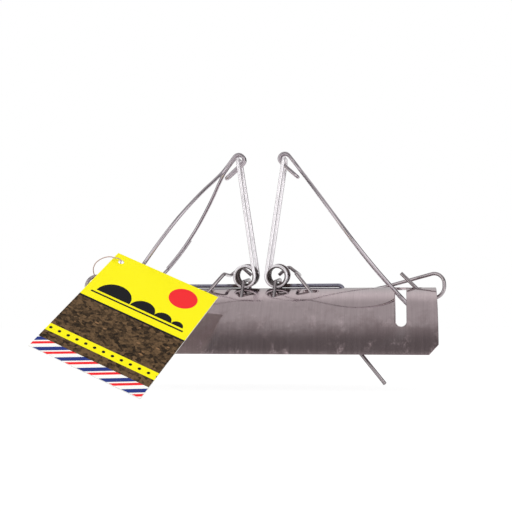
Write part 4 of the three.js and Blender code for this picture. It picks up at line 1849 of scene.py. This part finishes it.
class TRAP_OT_card(bpy.types.Operator):
    """Add the tag's printed card"""

    bl_idname = "trap.card"
    bl_label = "Add Tag Card"

    def execute(self, context):
        trap = context.scene.mole_trap
        tag = trap.tag
        turn = Matrix.Rotation(tag.turn_x, 4, "X")
        turn = turn @ Matrix.Rotation(tag.turn_y, 4, "Y") @ Matrix.Rotation(tag.turn_z, 4, "Z")
        hang = laid(trap, 1, [Vector(TAG_HOLE_PLACE)])[0]

        def hung(x, y, depth):
            spot = Vector((x - tag.hole_side, y + tag.hole_top, tag.thickness / 2 - depth))
            return hang + turn @ spot

        corners = [(0, 0), (0, -tag.height), (tag.width, -tag.height), (tag.width, 0)]
        outer = split_outline([Vector(corner) for corner in corners], CARD_PITCH[0])
        hole = slot_outline(tag.hole_side, -tag.hole_top, tag.hole, tag.hole, steps=TAG_HOLE_STEPS)
        mesh = punched_sheet("tag_card", outer, [hole], CARD_PITCH, tag.thickness, tag.rim, hung)
        made("tag_print", mesh, printed_card(trap), "tag", ["tag_card"])
        mesh.materials.append(bare_board(trap))
        depths = mesh.attributes[PLACE].data
        for face in mesh.polygons:
            if max(depths[i].vector.z for i in face.vertices) > 0:
                face.material_index = 1
        return {"FINISHED"}


class TRAP_PT_tools(bpy.types.Panel):
    """The trap's tools and sizes"""

    bl_label = "Mole Trap"
    bl_space_type = "VIEW_3D"
    bl_region_type = "UI"
    bl_category = "Mole Trap"

    def draw(self, context):
        for tool in TOOLS:
            self.layout.operator(tool.bl_idname)
        trap = context.scene.mole_trap
        for group in TrapSettings.__annotations__:
            box = self.layout.box()
            box.label(text=group.title())
            sizes = getattr(trap, group)
            for size in type(sizes).__annotations__:
                box.prop(sizes, size)


GROUPS = (
    BarrelSizes,
    SpringSizes,
    LoopSizes,
    TriggerSizes,
    RetainerSizes,
    StapleSizes,
    TagSizes,
    Finishes,
    Studio,
    TrapSettings,
)
TOOLS = (
    TRAP_OT_stage,
    TRAP_OT_string,
    TRAP_OT_barrel,
    TRAP_OT_springs,
    TRAP_OT_loops,
    TRAP_OT_pins,
    TRAP_OT_staples,
    TRAP_OT_card,
)


def register():
    """Make the settings, the tools and the panel known."""
    for kind in (*GROUPS, *TOOLS, TRAP_PT_tools):
        bpy.utils.register_class(kind)
    bpy.types.Scene.mole_trap = bpy.props.PointerProperty(type=TrapSettings)


def unregister():
    """Take them away again."""
    del bpy.types.Scene.mole_trap
    for kind in reversed((*GROUPS, *TOOLS, TRAP_PT_tools)):
        bpy.utils.unregister_class(kind)


def main():
    """Build the whole trap."""
    register()
    bpy.ops.trap.stage()
    bpy.ops.trap.string()
    bpy.ops.trap.barrel()
    bpy.ops.trap.springs()
    bpy.ops.trap.loops()
    bpy.ops.trap.pins()
    bpy.ops.trap.staples()
    bpy.ops.trap.card()


if __name__ == "__main__":
    main()
